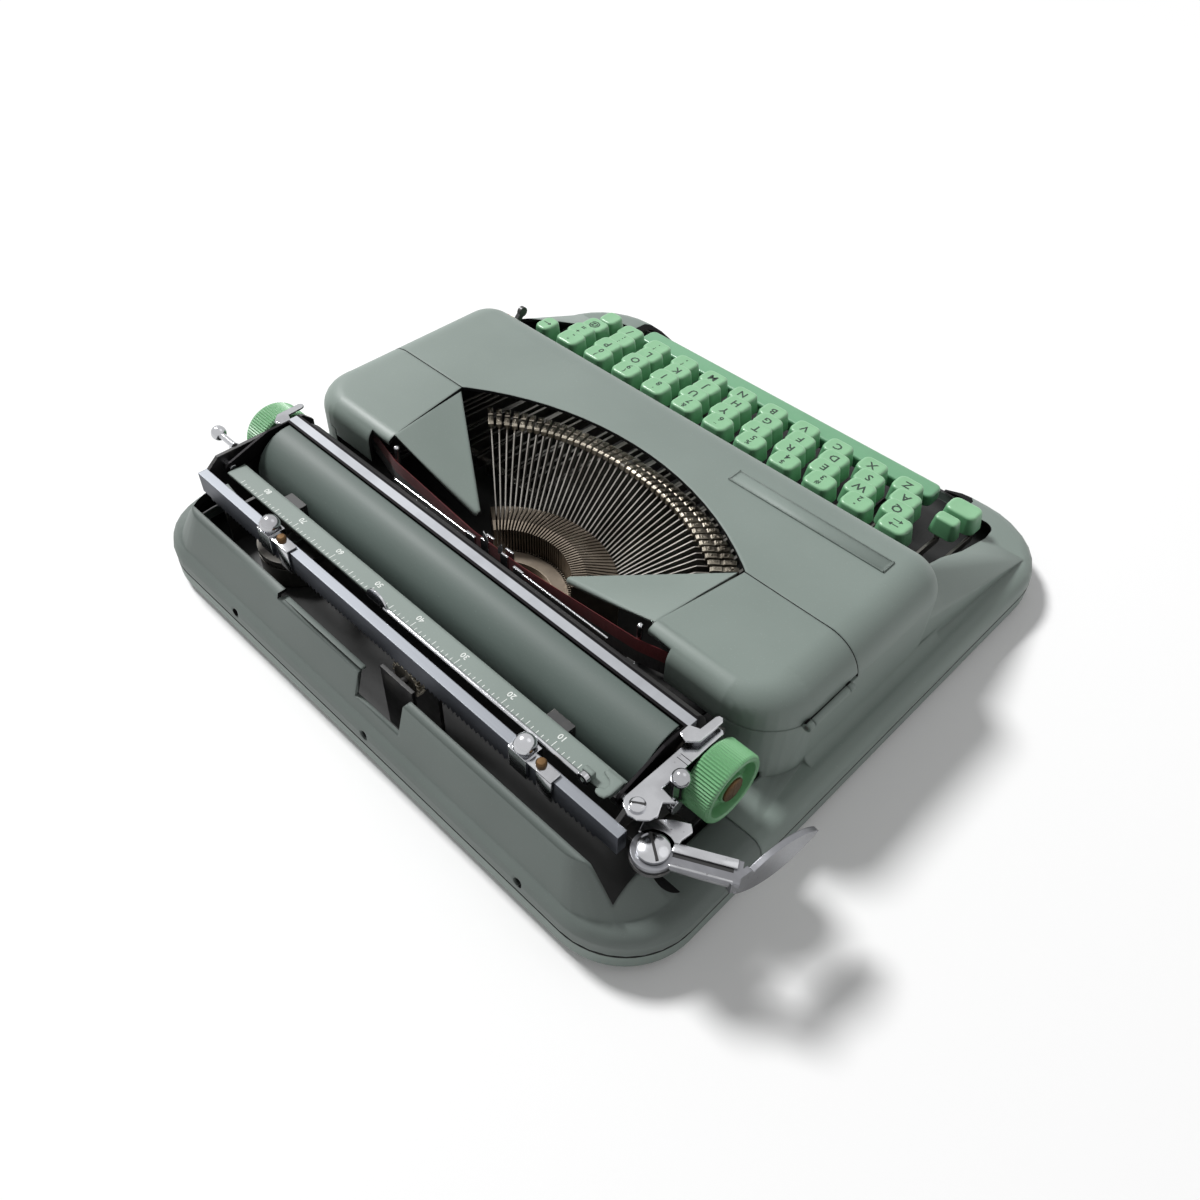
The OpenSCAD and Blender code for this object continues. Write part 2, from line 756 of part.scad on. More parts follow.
module body_shell() {
  color(green_grey) {
    difference() {
      union() {
        intersection() {
          skirt(0);
          ahead_of(rear_seam_y - seam_gap / 2);
        }
        deck_solid(0);
        // Hollow fillet at the foot of the side walls
        both_sides() sloped() along_y(lip_y, deck_rear_y - deck_corner_r) difference() {
          translate([wall_x - sheet / 2, shoulder_z - sheet / 2])
            square([foot_fillet + sheet / 2, foot_fillet + sheet / 2]);
          translate([wall_x + foot_fillet, shoulder_z + foot_fillet]) circle(foot_fillet);
        }
        both_sides() cheek(0);
      }
      skirt(sheet);
      deck_solid(sheet);
      both_sides() cheek(sheet);
      // Key well
      translate([0, 0, rim_z]) linear_extrude(deck_z) key_well_plan();
      // Front rim lowered to the pan before the space bar
      along_y(-half_d - 1, well_y + 1) polygon([
        [space_x - space_l / 2 + 6 - front_ramp, shoulder_z], [space_x - space_l / 2 + 6, rim_z],
        [space_x + space_l / 2 - 6, rim_z], [space_x + space_l / 2 - 6 + front_ramp, shoulder_z]
      ]);
      translate([-well_x, lip_y - 1, rim_z])
        cube([2 * well_x, 2 * sheet + 1, deck_z - lip_drop - rim_z]);
      // Open type basket and the space under the ribbon covers
      intersection() {
        translate([0, basket_centre_y, rim_z]) cylinder(r = basket_arc_r, h = deck_z, $fn = 96);
        translate([-basket_half, lip_y, rim_z]) cube([2 * basket_half, body_d, deck_z]);
      }
      translate([-wall_x - 1, seam_y, cover_edge_z - seam_gap])
        cube([2 * wall_x + 2, body_d, deck_z]);
      // Carriage well
      translate([-wall_x + deck_corner_r, seam_y, rim_z])
        cube([2 * (wall_x - deck_corner_r), body_d, deck_z]);
      translate([-carriage_well_x, deck_rear_y, rim_z])
        cube([2 * carriage_well_x, body_d, deck_z]);
      // Way through the rear corners for the side frames
      translate([-carriage_well_x, deck_rear_y - deck_corner_r, rim_z])
        cube([2 * carriage_well_x, 2 * deck_corner_r, rail_low + 1 - rim_z]);
      // Room for the covers' hinge barrels and for the hinge pins
      both_sides() {
        translate([hinge_x, hinge_y - barrel_l / 2 - slide_gap, hinge_z])
          bar_y(barrel_r + slide_gap, barrel_l + 2 * slide_gap);
        translate([hinge_x, hinge_y - pin_l, hinge_z]) bar_y(hinge_pin_r + run_gap, 2 * pin_l);
      }
    }
    hinge_ears();
  }
}

// Leaning rear wall and its corners, drawn in by inset
module rear_block(inset) {
  hull() {
    translate([0, 0, skirt_z - (inset > 0 ? 1 : 0)])
      linear_extrude(tiny) base_plan(inset, $fn = hull_fn);
    translate([0, 0, rear_top - inset - tiny])
      linear_extrude(tiny)
        round_rect(
          body_w - 2 * (rear_end_lean + inset), body_d - 2 * (rear_lean + inset),
          corner_r / 2 - inset, $fn = hull_fn
        );
  }
}
// Side view of the rear wall, which comes down to the shoulder in a double curve
module wrap_profile(inset) {
  y0 = half_d - wrap_d + inset;
  z0 = shoulder_z - inset;
  translate([y0 + 2 * wrap_r, rim_z]) square([wrap_d, rear_top - rim_z]);
  translate([y0 + wrap_r, rim_z]) square([wrap_r, z0 + wrap_r - rim_z]);
  translate([y0 + 2 * wrap_r, z0 + wrap_r]) circle(wrap_r);
  difference() {
    translate([y0, rim_z]) square([wrap_r, z0 + wrap_r - rim_z]);
    translate([y0, z0 + wrap_r]) circle(wrap_r);
  }
}

module rear_shell() {
  color(green_grey)
    difference() {
      union() {
        intersection() {
          skirt(0);
          behind(rear_seam_y + seam_gap / 2);
        }
        intersection() {
          rear_block(0);
          along_x(-half_w, half_w) wrap_profile(0);
        }
      }
      skirt(sheet);
      intersection() {
        rear_block(sheet);
        along_x(-half_w, half_w) wrap_profile(sheet);
      }
      // Open top inside the rolled edge
      translate([0, 0, shoulder_z])
        linear_extrude(body_d)
          round_rect(
            body_w - 2 * (rear_end_lean + roll_w), body_d - 2 * (rear_lean + roll_w),
            corner_r / 2 - roll_w
          );
      // Carriage well
      translate([-carriage_well_x, 0, rim_z])
        cube([2 * carriage_well_x, half_d - rear_lean - roll_w, deck_z]);
      // Cut-out for the escapement and the lowered edge beside it
      translate([cutout_x, half_d - wrap_d, rear_top - cutout_h]) cube([cutout_w, body_d, deck_z]);
      translate([cutout_x, half_d - wrap_d, rear_top - notch_h])
        cube([cutout_w + notch_w, body_d, deck_z]);
      for (x = vent_x) translate([x, half_d - 3 * sheet, vent_z]) bar_y(vent_r, body_d);
    }
}

module side_frames() {
  color(black)
    both_sides() {
      difference() {
        along_x(frame_x, frame_x + frame_t) polygon([
          [lip_y + 4, pan_floor], [rail_y + frame_tail, pan_floor], [rail_y + frame_tail, rail_low],
          [frame_rear_y, rail_low], [frame_rear_y, spool_shelf_z], [lip_y + 4, spool_shelf_z]
        ]);
        translate([0, fulcrum_y, fulcrum_z]) bar_x(fulcrum_r + run_gap, half_w);
      }
      // Shelf of the ribbon spool, with its pin
      translate([spool_x - spool_r, spool_y - spool_r, spool_shelf_z - shelf_t])
        cube([frame_x - spool_x + spool_r, 2 * spool_r, shelf_t]);
      translate([post_half - 4, post_y - 4, spool_shelf_z - shelf_t])
        cube([spool_x - post_half + 4, 6, shelf_t]);
      translate([spool_x, spool_y, spool_shelf_z - shelf_t])
        cylinder(r = spool_pin_r, h = spool_h + slide_gap + shelf_t);
    }
  // Pin of the ribbon colour selector
  color(black)
    translate([selector_x - 2, selector_y, selector_z]) bar_x(selector_r, frame_x - selector_x + 2);
}

module fulcrum_rod() {
  color(steel)
    translate([-frame_x - frame_t, fulcrum_y, fulcrum_z]) bar_x(fulcrum_r, 2 * (frame_x + frame_t));
}

// A child set in the plane of a typebar, at that bar's pivot
module at_pivot(a) {
  translate([0, print_y, 0]) rotate([0, 0, a]) translate([0, -bar_pivot_r(a), bar_pivot_z(a)]) children();
}

module type_segment() {
  color(steel) {
    difference() {
      translate([0, print_y, 0]) rotate([0, 0, -90 - fan_half - 3])
        rotate_extrude(angle = 2 * fan_half + 6, $fn = 96) polygon([
          [segment_bore, segment_low], [segment_r, segment_low], [segment_r, segment_top - 4],
          [slot_r + 6, segment_top], [slot_r, segment_top], [slot_r, shelf_top], [segment_bore, shelf_top]
        ]);
      for (i = [0 : bar_count - 1]) at_pivot(bar_angle(i))
        translate([-slot_w / 2, bar_pivot_r(bar_angle(i)) - segment_r - 1, -bar_h / 2 - 1.5])
          cube([slot_w, segment_r + 2 - slot_r, segment_top]);
    }
    // Pivot pins across the slots
    for (i = [0 : bar_count - 1]) at_pivot(bar_angle(i))
      translate([-slot_w / 2 - tiny, 0, 0]) bar_x(pivot_r, slot_w + 2 * tiny);
    // Pedestals on the base pan
    for (a = [-32, 32]) translate([0, print_y, 0]) rotate([0, 0, a])
      translate([-5, -segment_r + 2, pan_floor])
        cube([10, segment_r - segment_bore - 4, segment_low - pan_floor + 1]);
    // Guide of the ribbon vibrator
    translate([-16, print_y - segment_bore - 1.5, segment_low])
      cube([32, guide_y - print_y + segment_bore + 1.5, guide_top - segment_low]);
  }
}

// A typebar and its type at rest
module type_bar(a) {
  at_pivot(a) rotate([-bar_rest(a), 0, 0])
    difference() {
      union() {
        translate([-bar_t / 2, -bar_l, -bar_h / 2]) cube([bar_t, bar_l, bar_h]);
        translate([-bar_t / 2, 0, 0]) bar_x(bar_h / 2, bar_t);
      }
      translate([-bar_t, 0, 0]) bar_x(pivot_r + run_gap, 2 * bar_t);
      translate([0, -bar_l, 0]) rotate([slug_turn(a), 0, 0])
        translate([-slug_w, -slug_l, -slug_t]) cube([2 * slug_w, 2 * slug_l, slug_l]);
    }
}
module type_slug(a) {
  at_pivot(a) rotate([-bar_rest(a), 0, 0]) translate([0, -bar_l, 0])
    rotate([slug_turn(a), 0, 0])
      translate([-slug_w / 2, -slug_l / 2, -slug_t]) cube([slug_w, slug_l, slug_t]);
}

module typebars() {
  color(steel)
    for (i = [0 : bar_count - 1]) if (i != struck_bar) type_bar(bar_angle(i));
}
module type_slugs() {
  color(brass)
    for (i = [0 : bar_count - 1]) if (i != struck_bar) type_slug(bar_angle(i));
}
module struck_typebar() {
  color(steel) type_bar(bar_angle(struck_bar));
  color(brass) type_slug(bar_angle(struck_bar));
}

module ribbon() {
  path = [
    [-spool_x, spool_y + spool_core_r + slide_gap + ribbon_t / 2],
    [-post_half, post_y + post_r + ribbon_t], [-14, ribbon_y], [14, ribbon_y],
    [post_half, post_y + post_r + ribbon_t],
    [spool_x, spool_y + spool_core_r + slide_gap + ribbon_t / 2]
  ];
  n = len(path);
  color(black)
    translate([0, 0, ribbon_z])
      linear_extrude(ribbon_w)
        polygon(concat(
          [for (i = [0 : n - 1]) path[i] + [0, ribbon_t / 2]],
          [for (i = [n - 1 : -1 : 0]) path[i] - [0, ribbon_t / 2]]
        ));
}

module ribbon_guides() {
  color(chrome)
    both_sides() translate([post_half, post_y, spool_shelf_z]) {
      cylinder(r = post_r, h = post_top - spool_shelf_z);
      translate([0, 0, post_top - spool_shelf_z]) sphere(r = post_r);
    }
}

module ribbon_vibrator() {
  color(chrome) {
    translate([-8, guide_y, guide_top + 2]) cube([16, vibrator_t, 6]);
    translate([-3, guide_y, segment_low]) cube([6, vibrator_t, guide_top - segment_low + 3]);
    // Prongs in front of the ribbon and behind it
    both_sides() {
      translate([3.5, guide_y, guide_top + 7]) cube([4, vibrator_t, prong_top - guide_top - 7]);
      translate([3.5, guide_y, guide_top + 7])
        cube([4, ribbon_y + ribbon_t + 0.4 + vibrator_t - guide_y, vibrator_t]);
      translate([3.5, ribbon_y + ribbon_t + 0.4, guide_top + 7])
        cube([4, vibrator_t, prong_top - guide_top - 7]);
    }
  }
}

// Spool with a wound core between two flanges, standing on its pin
module spool(s) {
  color(black)
    translate([s * spool_x, spool_y, spool_z])
      difference() {
        union() {
          cylinder(r = spool_r, h = flange_t);
          cylinder(r = spool_core_r, h = spool_h);
          translate([0, 0, spool_h - flange_t]) cylinder(r = spool_r, h = flange_t);
        }
        translate([0, 0, -1]) cylinder(r = spool_pin_r + run_gap, h = spool_h + 2);
      }
}
module ribbon_spool_left() spool(-1);
module ribbon_spool_right() spool(1);

module card_holder() {
  color(chrome)
    both_sides() {
      translate([11, guide_y, segment_low]) cube([5, card_y - guide_y, 2]);
      translate([11, card_y - card_t, segment_low]) cube([5, card_t, card_z - segment_low + card_t]);
      translate([14, card_y - card_t / 2, card_z]) bar_x(card_t / 2, 46);
    }
}

module carriage_rail() {
  color(steel)
    translate([-frame_x - frame_t, rail_y - rail_w / 2, rail_low])
      cube([2 * (frame_x + frame_t), rail_w, rail_t]);
}
// Rollers in their cage
module carriage_rollers() {
  color(steel)
    translate([0, rail_y, rail_top + slide_gap + roller_r]) {
      translate([-24, -rail_w / 2, -cage_t / 2]) cube([48, rail_w, cage_t]);
      for (x = [-18, -6, 6, 18]) translate([x, -rail_w / 2 + 1, 0]) bar_y(roller_r, rail_w - 2);
    }
}

module escapement_bracket() {
  color(black) {
    for (y = [pinion_y - 5 - shelf_t, pinion_y + 4])
      translate([pinion_x - 9, y, pan_floor]) cube([18, shelf_t, pinion_z + 3.5 - pan_floor]);
    translate([pinion_x - 9, pinion_y - 5 - shelf_t, pan_floor]) cube([18, 9 + 2 * shelf_t, shelf_t]);
    translate([pinion_x, pinion_y - 5 - shelf_t / 2, pinion_z]) bar_y(pinion_shaft_r, 9 + shelf_t);
  }
}
module escapement_pinion() {
  color(brass)
    along_y(pinion_y - pinion_w / 2, pinion_y + pinion_w / 2)
      translate([pinion_x, pinion_z]) difference() {
        union() {
          circle(pinion_pitch_r - 1.4);
          for (i = [0 : pinion_teeth - 1]) rotate(90 + 360 * i / pinion_teeth) polygon([
            [pinion_pitch_r - 2.4, -0.7], [pinion_pitch_r, -0.2], [pinion_pitch_r, 0.2],
            [pinion_pitch_r - 2.4, 0.7]
          ]);
        }
        circle(pinion_shaft_r + run_gap);
      }
}

module spring_drum() {
  color(steel)
    translate([drum_x, drum_y, drum_z]) difference() {
      cylinder(r = drum_r, h = drum_h);
      translate([0, 0, -1]) cylinder(r = drum_pin_r + run_gap, h = drum_h + 2);
      // Groove of the draw band
      translate([0, 0, drum_h - 4]) rotate_extrude() translate([drum_r - 1, 0]) square([2, 2]);
    }
}

// Left ribbon cover: deck plate, side wall, rear wall and the cone over the ribbon
module cover_cone(drop) {
  hull() {
    translate([0, 0, deck_z - 3 - drop]) linear_extrude(3) polygon([
      [-basket_half - tiny, seam_y + seam_gap + 1.2], [-basket_half + 1, seam_y + seam_gap + 1.2],
      [1 - cone_base_half, cone_rear_y], [-cone_base_half - 1, cone_rear_y]
    ]);
    translate([-tip_half, half_d - tip_back, deck_z - tip_drop - drop]) sphere(r = 1.8, $fn = 16);
  }
}
module cover_left_half() {
  color(green_grey)
    difference() {
      union() {
        difference() {
          deck_solid(0);
          deck_solid(sheet);
          ahead_of(seam_y + seam_gap);
          // Below the side edge and the rear edge
          translate([-body_w, 0, 0]) cube([2 * body_w, deck_rear_y - 2 * sheet, cover_edge_z]);
          translate([-body_w, 0, 0]) cube([2 * body_w, body_d, deck_z - cover_rear_h]);
          translate([-body_w, 0, 0])
            cube([body_w - wall_x + deck_corner_r + seam_gap, body_d, cover_edge_z]);
          // Right of the cover's inner edge
          linear_extrude(2 * deck_z) polygon([
            [-basket_half, seam_y], [body_w, seam_y], [body_w, body_d],
            [-cone_base_half, body_d], [-cone_base_half, cone_rear_y]
          ]);
          translate([-cover_gap_half, deck_rear_y - 2 * sheet, 0])
            cube([body_w, body_d, deck_z - sheet]);
        }
        difference() {
          cover_cone(0);
          cover_cone(sheet);
          // Flat below the deck plate where cone and plate join
          translate([-wall_x, 0, 0]) linear_extrude(deck_z) polygon([
            [0, 0], [wall_x - basket_half - tiny, 0],
            [wall_x - cone_base_half - tiny, cone_rear_y], [0, cone_rear_y]
          ]);
        }
        translate([-hinge_x, hinge_y - barrel_l / 2, hinge_z]) bar_y(barrel_r, barrel_l);
      }
      // Bore of the hinge and room for the body's ears
      translate([-hinge_x, hinge_y - pin_l, hinge_z]) bar_y(hinge_pin_r + run_gap, 2 * pin_l);
      for (y = [hinge_y - barrel_l / 2 - pin_l, hinge_y + barrel_l / 2])
        translate([-hinge_x, y, hinge_z]) bar_y(barrel_r + slide_gap, pin_l);
    }
}
module ribbon_cover_left() cover_left_half();
module ribbon_cover_right() mirror([1, 0, 0]) cover_left_half();

module hinge_pins() {
  color(steel)
    both_sides() translate([hinge_x, hinge_y - pin_l / 2, hinge_z]) bar_y(hinge_pin_r, pin_l);
}

module ribbon_selector() {
  color(black)
    difference() {
      along_x(selector_x - 1, selector_x + 1) {
        translate([selector_y, selector_z]) circle(3);
        translate([selector_y, selector_z]) rotate(180 - selector_lean) translate([0, -1.5])
          square([selector_l, 3]);
        translate([selector_y, selector_z]) rotate(180 - selector_lean) translate([selector_l, 0])
          circle(2.4);
      }
      translate([0, selector_y, selector_z]) bar_x(selector_r + run_gap, half_w);
    }
}

// Key with a skirt and a smaller top
module key_cap(x, y, top, w, d) {
  r = min(key_r, d / 2 - 1.2);
  translate([x, y, top - key_h]) {
    linear_extrude(key_h * 0.6) round_rect(w, d, r);
    linear_extrude(key_h) round_rect(w - 1.4, d - 1.4, r - 0.5);
  }
}
// Lever from the fulcrum rod to the underside of a key
module key_lever(x, y, under) {
  along_x(x - lever_t / 2, x + lever_t / 2) difference() {
    polygon([
      [fulcrum_y + 4, fulcrum_z - 3], [fulcrum_y + 4, fulcrum_z + 3], [fulcrum_y - 4, fulcrum_z + 3],
      [y + 2, lever_front_z + lever_h / 2], [y + 2, under], [y - 2, under],
      [y - 2, lever_front_z - lever_h / 2], [y + 2, lever_front_z - lever_h / 2],
      [fulcrum_y - 4, fulcrum_z - 3]
    ]);
    translate([fulcrum_y, fulcrum_z]) circle(fulcrum_r + run_gap);
  }
}
module row_caps(r) {
  color(mint)
    for (c = [row_first[r] : row_last[r]])
      if (r != struck_row || c != struck_column)
        key_cap(key_x(c, r), row_y(r), row_top(r), key_w, key_d);
}
module row_levers(r) {
  color(steel)
    for (c = [row_first[r] : row_last[r]])
      if (r != struck_row || c != struck_column)
        key_lever(key_x(c, r), row_y(r), row_top(r) - key_h);
}
// A key that stands alone, with its lever
module lone_key(x, y, top, w, d, lever_shift = 0) {
  color(mint) key_cap(x, y, top, w, d);
  color(steel) key_lever(x + lever_shift, y, top - key_h);
}
module key_caps_row_1() row_caps(0);
module key_caps_row_2() row_caps(1);
module key_caps_row_3() row_caps(2);
module key_caps_row_4() row_caps(3);
module key_levers_row_1() row_levers(0);
module key_levers_row_2() row_levers(1);
module key_levers_row_3() row_levers(2);
module key_levers_row_4() row_levers(3);
module struck_key() {
  color(mint)
    key_cap(key_x(struck_column, struck_row), row_y(struck_row), row_top(struck_row), key_w, key_d);
}
module struck_key_lever() {
  color(steel)
    key_lever(key_x(struck_column, struck_row), row_y(struck_row), row_top(struck_row) - key_h);
}
module margin_release_key() lone_key(key_x(0, 0), row_y(0), row_top(0), key_w, key_d);
module backspace_key() lone_key(backspace_x, row_y(0), row_top(0), backspace_w, key_d);
module shift_left()
  lone_key(-shift_x, row_y(3) - 2.5, shift_top, shift_w, shift_d, shift_left_lever);
module shift_right()
  lone_key(shift_right_x, row_y(3) - 0.2, shift_top, key_w, key_d, shift_right_lever);
module shift_lock()
  lone_key(lock_x, row_y(3) + shift_d / 2 + 2.5, shift_top, key_w, lock_d, lock_lever);

module space_bar() {
  color(mint)
    translate([space_x, space_y, space_top - space_h])
      linear_extrude(space_h) round_rect(space_l, space_d, space_d / 2 - 1);
  // Arms back to the fulcrum rod
  under = space_top - space_h;
  color(steel)
    for (c = [1, 9])
      along_x(
        key_x(c, 0) + space_arm_shift - lever_t / 2, key_x(c, 0) + space_arm_shift + lever_t / 2
      ) difference() {
        polygon([
          [fulcrum_y + 4, fulcrum_z - 3], [fulcrum_y + 4, fulcrum_z + 3], [fulcrum_y - 4, fulcrum_z + 3],
          [lip_y, under], [space_y - 2, under], [space_y - 2, under - lever_h + 0.5],
          [lip_y, under - lever_h + 0.5], [fulcrum_y - 4, fulcrum_z - 3]
        ]);
        translate([fulcrum_y, fulcrum_z]) circle(fulcrum_r + run_gap);
      }
}

module carriage_frame() {
  color(black) {
    both_sides()
      difference() {
        along_x(plate_half, plate_out) polygon([
          [plate_front, plate_low], [platen_y + 5.5, plate_low], [platen_y + 7, rail_top + 2.5],
          [bail_y - 2, rail_top + 2.5], [bail_y + 2, margin_low - 1], [margin_y, margin_low - 1],
          [margin_y, margin_top], [margin_y - 5, plate_top], [plate_front + 4.2, plate_top],
          [plate_front, plate_top - 4.2]
        ]);
        translate([0, platen_y, platen_z]) bar_x(shaft_r + run_gap, half_w);
        translate([0, feed_y, feed_z]) bar_x(feed_shaft_r + run_gap, half_w);
        translate([0, bail_y, bail_z]) bar_x(screw_r + run_gap, half_w);
      }
    // Channel that runs on the rollers
    translate([-plate_half, rail_y - channel_w / 2, channel_z])
      cube([2 * plate_half, channel_w + 2.5, channel_t]);
    for (y = [rail_y - channel_w / 2, rail_y + channel_w / 2 - channel_t])
      translate([-plate_half, y, rail_top - 3.5])
        cube([2 * plate_half, channel_t, channel_z - rail_top + 3.5 + channel_t]);
    // Brackets of the margin scale
    both_sides() {
      translate([bracket_x, rail_y + channel_w / 2 + 1, channel_z])
        cube([bracket_w, channel_t, scale_z - channel_z]);
      translate([bracket_x, rail_y + channel_w / 2 + 1, scale_z - channel_t])
        cube([bracket_w, scale_y - rail_y - channel_w / 2 - 1.5, channel_t]);
    }
    // Bracket of the return lever
    translate([0, 0, lever_z - channel_t]) linear_extrude(channel_t) {
      translate([lever_x, lever_y]) circle(lever_head_r + 0.4);
      translate([lever_x, lever_y - 9]) square([lever_out, 10]);
    }
  }
}

module margin_rail() {
  color(steel)
    along_y(margin_y, margin_y + margin_rail_w) {
      translate([-margin_rail_half, margin_low])
        square([margin_rail_half + plate_out, margin_rail_h]);
      // Rack
      for (i = [0 : rack_teeth - 1])
        translate([(i - rack_teeth / 2) * rack_pitch, margin_low])
          polygon([[0, 1], [0, 0], [rack_pitch / 2, -rack_depth], [rack_pitch, 0], [rack_pitch, 1]]);
    }
}

module margin_scale() {
  color(black) {
    translate([-platen_half, scale_y - scale_w, scale_z]) cube([2 * platen_half, scale_w, 1]);
    // Lug and pin of the paper support
    translate([support_x - 2, scale_y - 2, scale_z]) cube([4, 2, support_z - scale_z + 2]);
    translate([support_x, scale_y - 1, support_z]) bar_y(support_pin_r, support_w + slide_gap + 1);
  }
}

module paper_table() {
  color(black)
    along_x(-platen_half, platen_half) {
      difference() {
        intersection() {
          translate([table_y, table_z]) circle(table_r + table_t);
          translate([table_y - 1, table_z]) square([body_d, body_d]);
        }
        translate([table_y, table_z]) circle(table_r);
      }
      translate([table_y + table_r, channel_z + channel_t])
        square([table_t, table_z - channel_z - channel_t]);
    }
}

module carriage_screws() {
  color(chrome) {
    both_sides() translate([plate_half - 5.5, bail_y, bail_z]) {
      bar_x(screw_r, 5.5 + plate_t);
      translate([5.5 + plate_t, 0, 0]) bar_x(2 * screw_r, 1);
    }
    translate([lever_x, lever_y, lever_z]) {
      cylinder(r = screw_r, h = lever_plate_t + slide_gap);
      translate([0, 0, lever_plate_t + slide_gap]) cylinder(r = 2.4 * screw_r, h = 1.4);
    }
    translate([-plate_out, space_lever_y, space_lever_z]) mirror([1, 0, 0]) {
      bar_x(screw_r, space_lever_out + lever_t + slide_gap);
      translate([space_lever_out + lever_t + slide_gap, 0, 0]) bar_x(1.8 * screw_r, 1);
    }
    translate([plate_out, release_y, release_z]) {
      bar_x(screw_r, slide_gap + lever_t + slide_gap);
      translate([2 * slide_gap + lever_t, 0, 0]) bar_x(1.8 * screw_r, 0.8);
    }
  }
}

module line_space_plate() {
  color(chrome)
    translate([0, 0, plate_top])
      linear_extrude(1.2)
        difference() {
          translate([-plate_out - 2.6, plate_front + 4.6]) square([5.8, margin_y - 5.4 - plate_front - 4.6]);
          translate([-plate_out - 2.6, space_lever_y - 14])
            polygon([[-1, -2], [0, -2], [2, 0], [0, 2], [-1, 2]]);
        }
}

module line_space_lever() {
  color(chrome)
    difference() {
      union() {
        along_x(-plate_out - space_lever_out - lever_t, -plate_out - space_lever_out) {
          translate([space_lever_y, space_lever_z]) circle(2.5);
          translate([space_lever_y - 1.6, space_lever_z]) square([3.2, space_lever_l]);
        }
        translate([-plate_out - space_lever_out - lever_t - 1, space_lever_y, space_lever_z + space_lever_l])
          rotate([0, 0, 180]) sphere(r = ball_r);
      }
      translate([-half_w, space_lever_y, space_lever_z]) bar_x(screw_r + run_gap, half_w);
    }
}

module paper_release_lever() {
  color(chrome)
    difference() {
      union() {
        along_x(plate_out + slide_gap, plate_out + slide_gap + lever_t) {
          translate([release_y, release_z]) circle(3);
          translate([release_y - 2, release_z]) square([4, release_l]);
        }
        translate([plate_out + slide_gap, release_y, release_z + release_l]) bar_x(1.4, 12);
        translate([plate_out + slide_gap + 12, release_y, release_z + release_l]) sphere(r = ball_r);
      }
      translate([0, release_y, release_z]) bar_x(screw_r + run_gap, plate_out + 5);
    }
}

module paper_bail() {
  color(chrome) {
    translate([-bail_half, platen_y - 1 - bail_w / 2, bail_top - bail_t])
      cube([2 * bail_half, bail_w, bail_t]);
    both_sides()
      along_x(bail_half - bail_t, bail_half) difference() {
        union() {
          polygon([
            [platen_y - 1 - bail_w / 2, bail_top], [platen_y - 1 - bail_w / 2, bail_top - 3.5],
            [bail_y, bail_z - 3], [bail_y, bail_z + 3], [platen_y + 12, bail_top]
          ]);
          translate([bail_y, bail_z]) circle(3);
        }
        translate([bail_y, bail_z]) circle(screw_r + run_gap);
      }
  }
}

module platen() {
  color(black)
    translate([-platen_half, platen_y, platen_z]) difference() {
      bar_x(platen_r, 2 * platen_half);
      translate([-1, 0, 0]) bar_x(shaft_r + run_gap, 2 * platen_half + 2);
    }
}
module platen_shaft() {
  color(steel)
    translate([-shaft_half, platen_y, platen_z]) bar_x(shaft_r, 2 * shaft_half - knob_shift);
}
// Knob with a hollow outer face and a hub
module knob() {
  color(mint)
    translate([knob_x, platen_y, platen_z]) difference() {
      bar_x(knob_r, knob_w);
      translate([-1, 0, 0]) bar_x(shaft_r + run_gap, knob_w + 2);
      difference() {
        translate([knob_w - 4, 0, 0]) bar_x(knob_r - 3, 5);
        bar_x(shaft_r + 2.5, knob_w - 1);
      }
    }
}
module knob_left() mirror([1, 0, 0]) knob();
module knob_right() translate([-knob_shift, 0, 0]) knob();
module ratchet_wheel() {
  color(steel)
    along_x(-plate_half + 1.5, -plate_half + 3.5)
      translate([platen_y, platen_z]) difference() {
        union() {
          circle(ratchet_r - 1);
          for (i = [0 : ratchet_teeth - 1]) rotate(360 * i / ratchet_teeth)
            polygon([[ratchet_r - 2, -0.8], [ratchet_r, 0.6], [ratchet_r - 2, 0.8]]);
        }
        circle(shaft_r + run_gap);
      }
}
module feed_roller() {
  color(black) {
    translate([-platen_half, feed_y, feed_z]) bar_x(feed_r, 2 * platen_half);
    translate([-plate_out, feed_y, feed_z]) bar_x(feed_shaft_r, 2 * plate_out);
  }
}

// Return lever: head on its pivot, arm and upright lens-shaped paddle
module return_lever() {
  lens_r = (pow(paddle_l, 2) + pow(paddle_h, 2)) / (4 * paddle_h);
  color(chrome)
    difference() {
      translate([lever_x, lever_y, lever_z]) {
        linear_extrude(lever_plate_t) {
          circle(lever_head_r);
          rotate(lever_turn) translate([0, -4]) square([lever_arm, 8]);
        }
        rotate([0, 0, lever_turn]) translate([lever_arm, 0, 0]) rotate([0, 0, paddle_turn])
          along_y(-lever_plate_t / 2, lever_plate_t / 2) {
            translate([paddle_l / 2 - 3, lever_plate_t - paddle_h / 2]) intersection() {
              translate([0, lens_r - paddle_h / 2]) circle(lens_r, $fn = 96);
              translate([0, paddle_h / 2 - lens_r]) circle(lens_r, $fn = 96);
            }
            // Downward fold that carries the paddle
            polygon([
              [-5, lever_plate_t], [3, lever_plate_t], [7, lever_plate_t - paddle_h / 2],
              [1, lever_plate_t - paddle_h / 2 - 1], [-5, lever_plate_t - 5]
            ]);
          }
      }
      translate([lever_x, lever_y, 0]) cylinder(r = screw_r + run_gap, h = 2 * lever_z);
    }
}

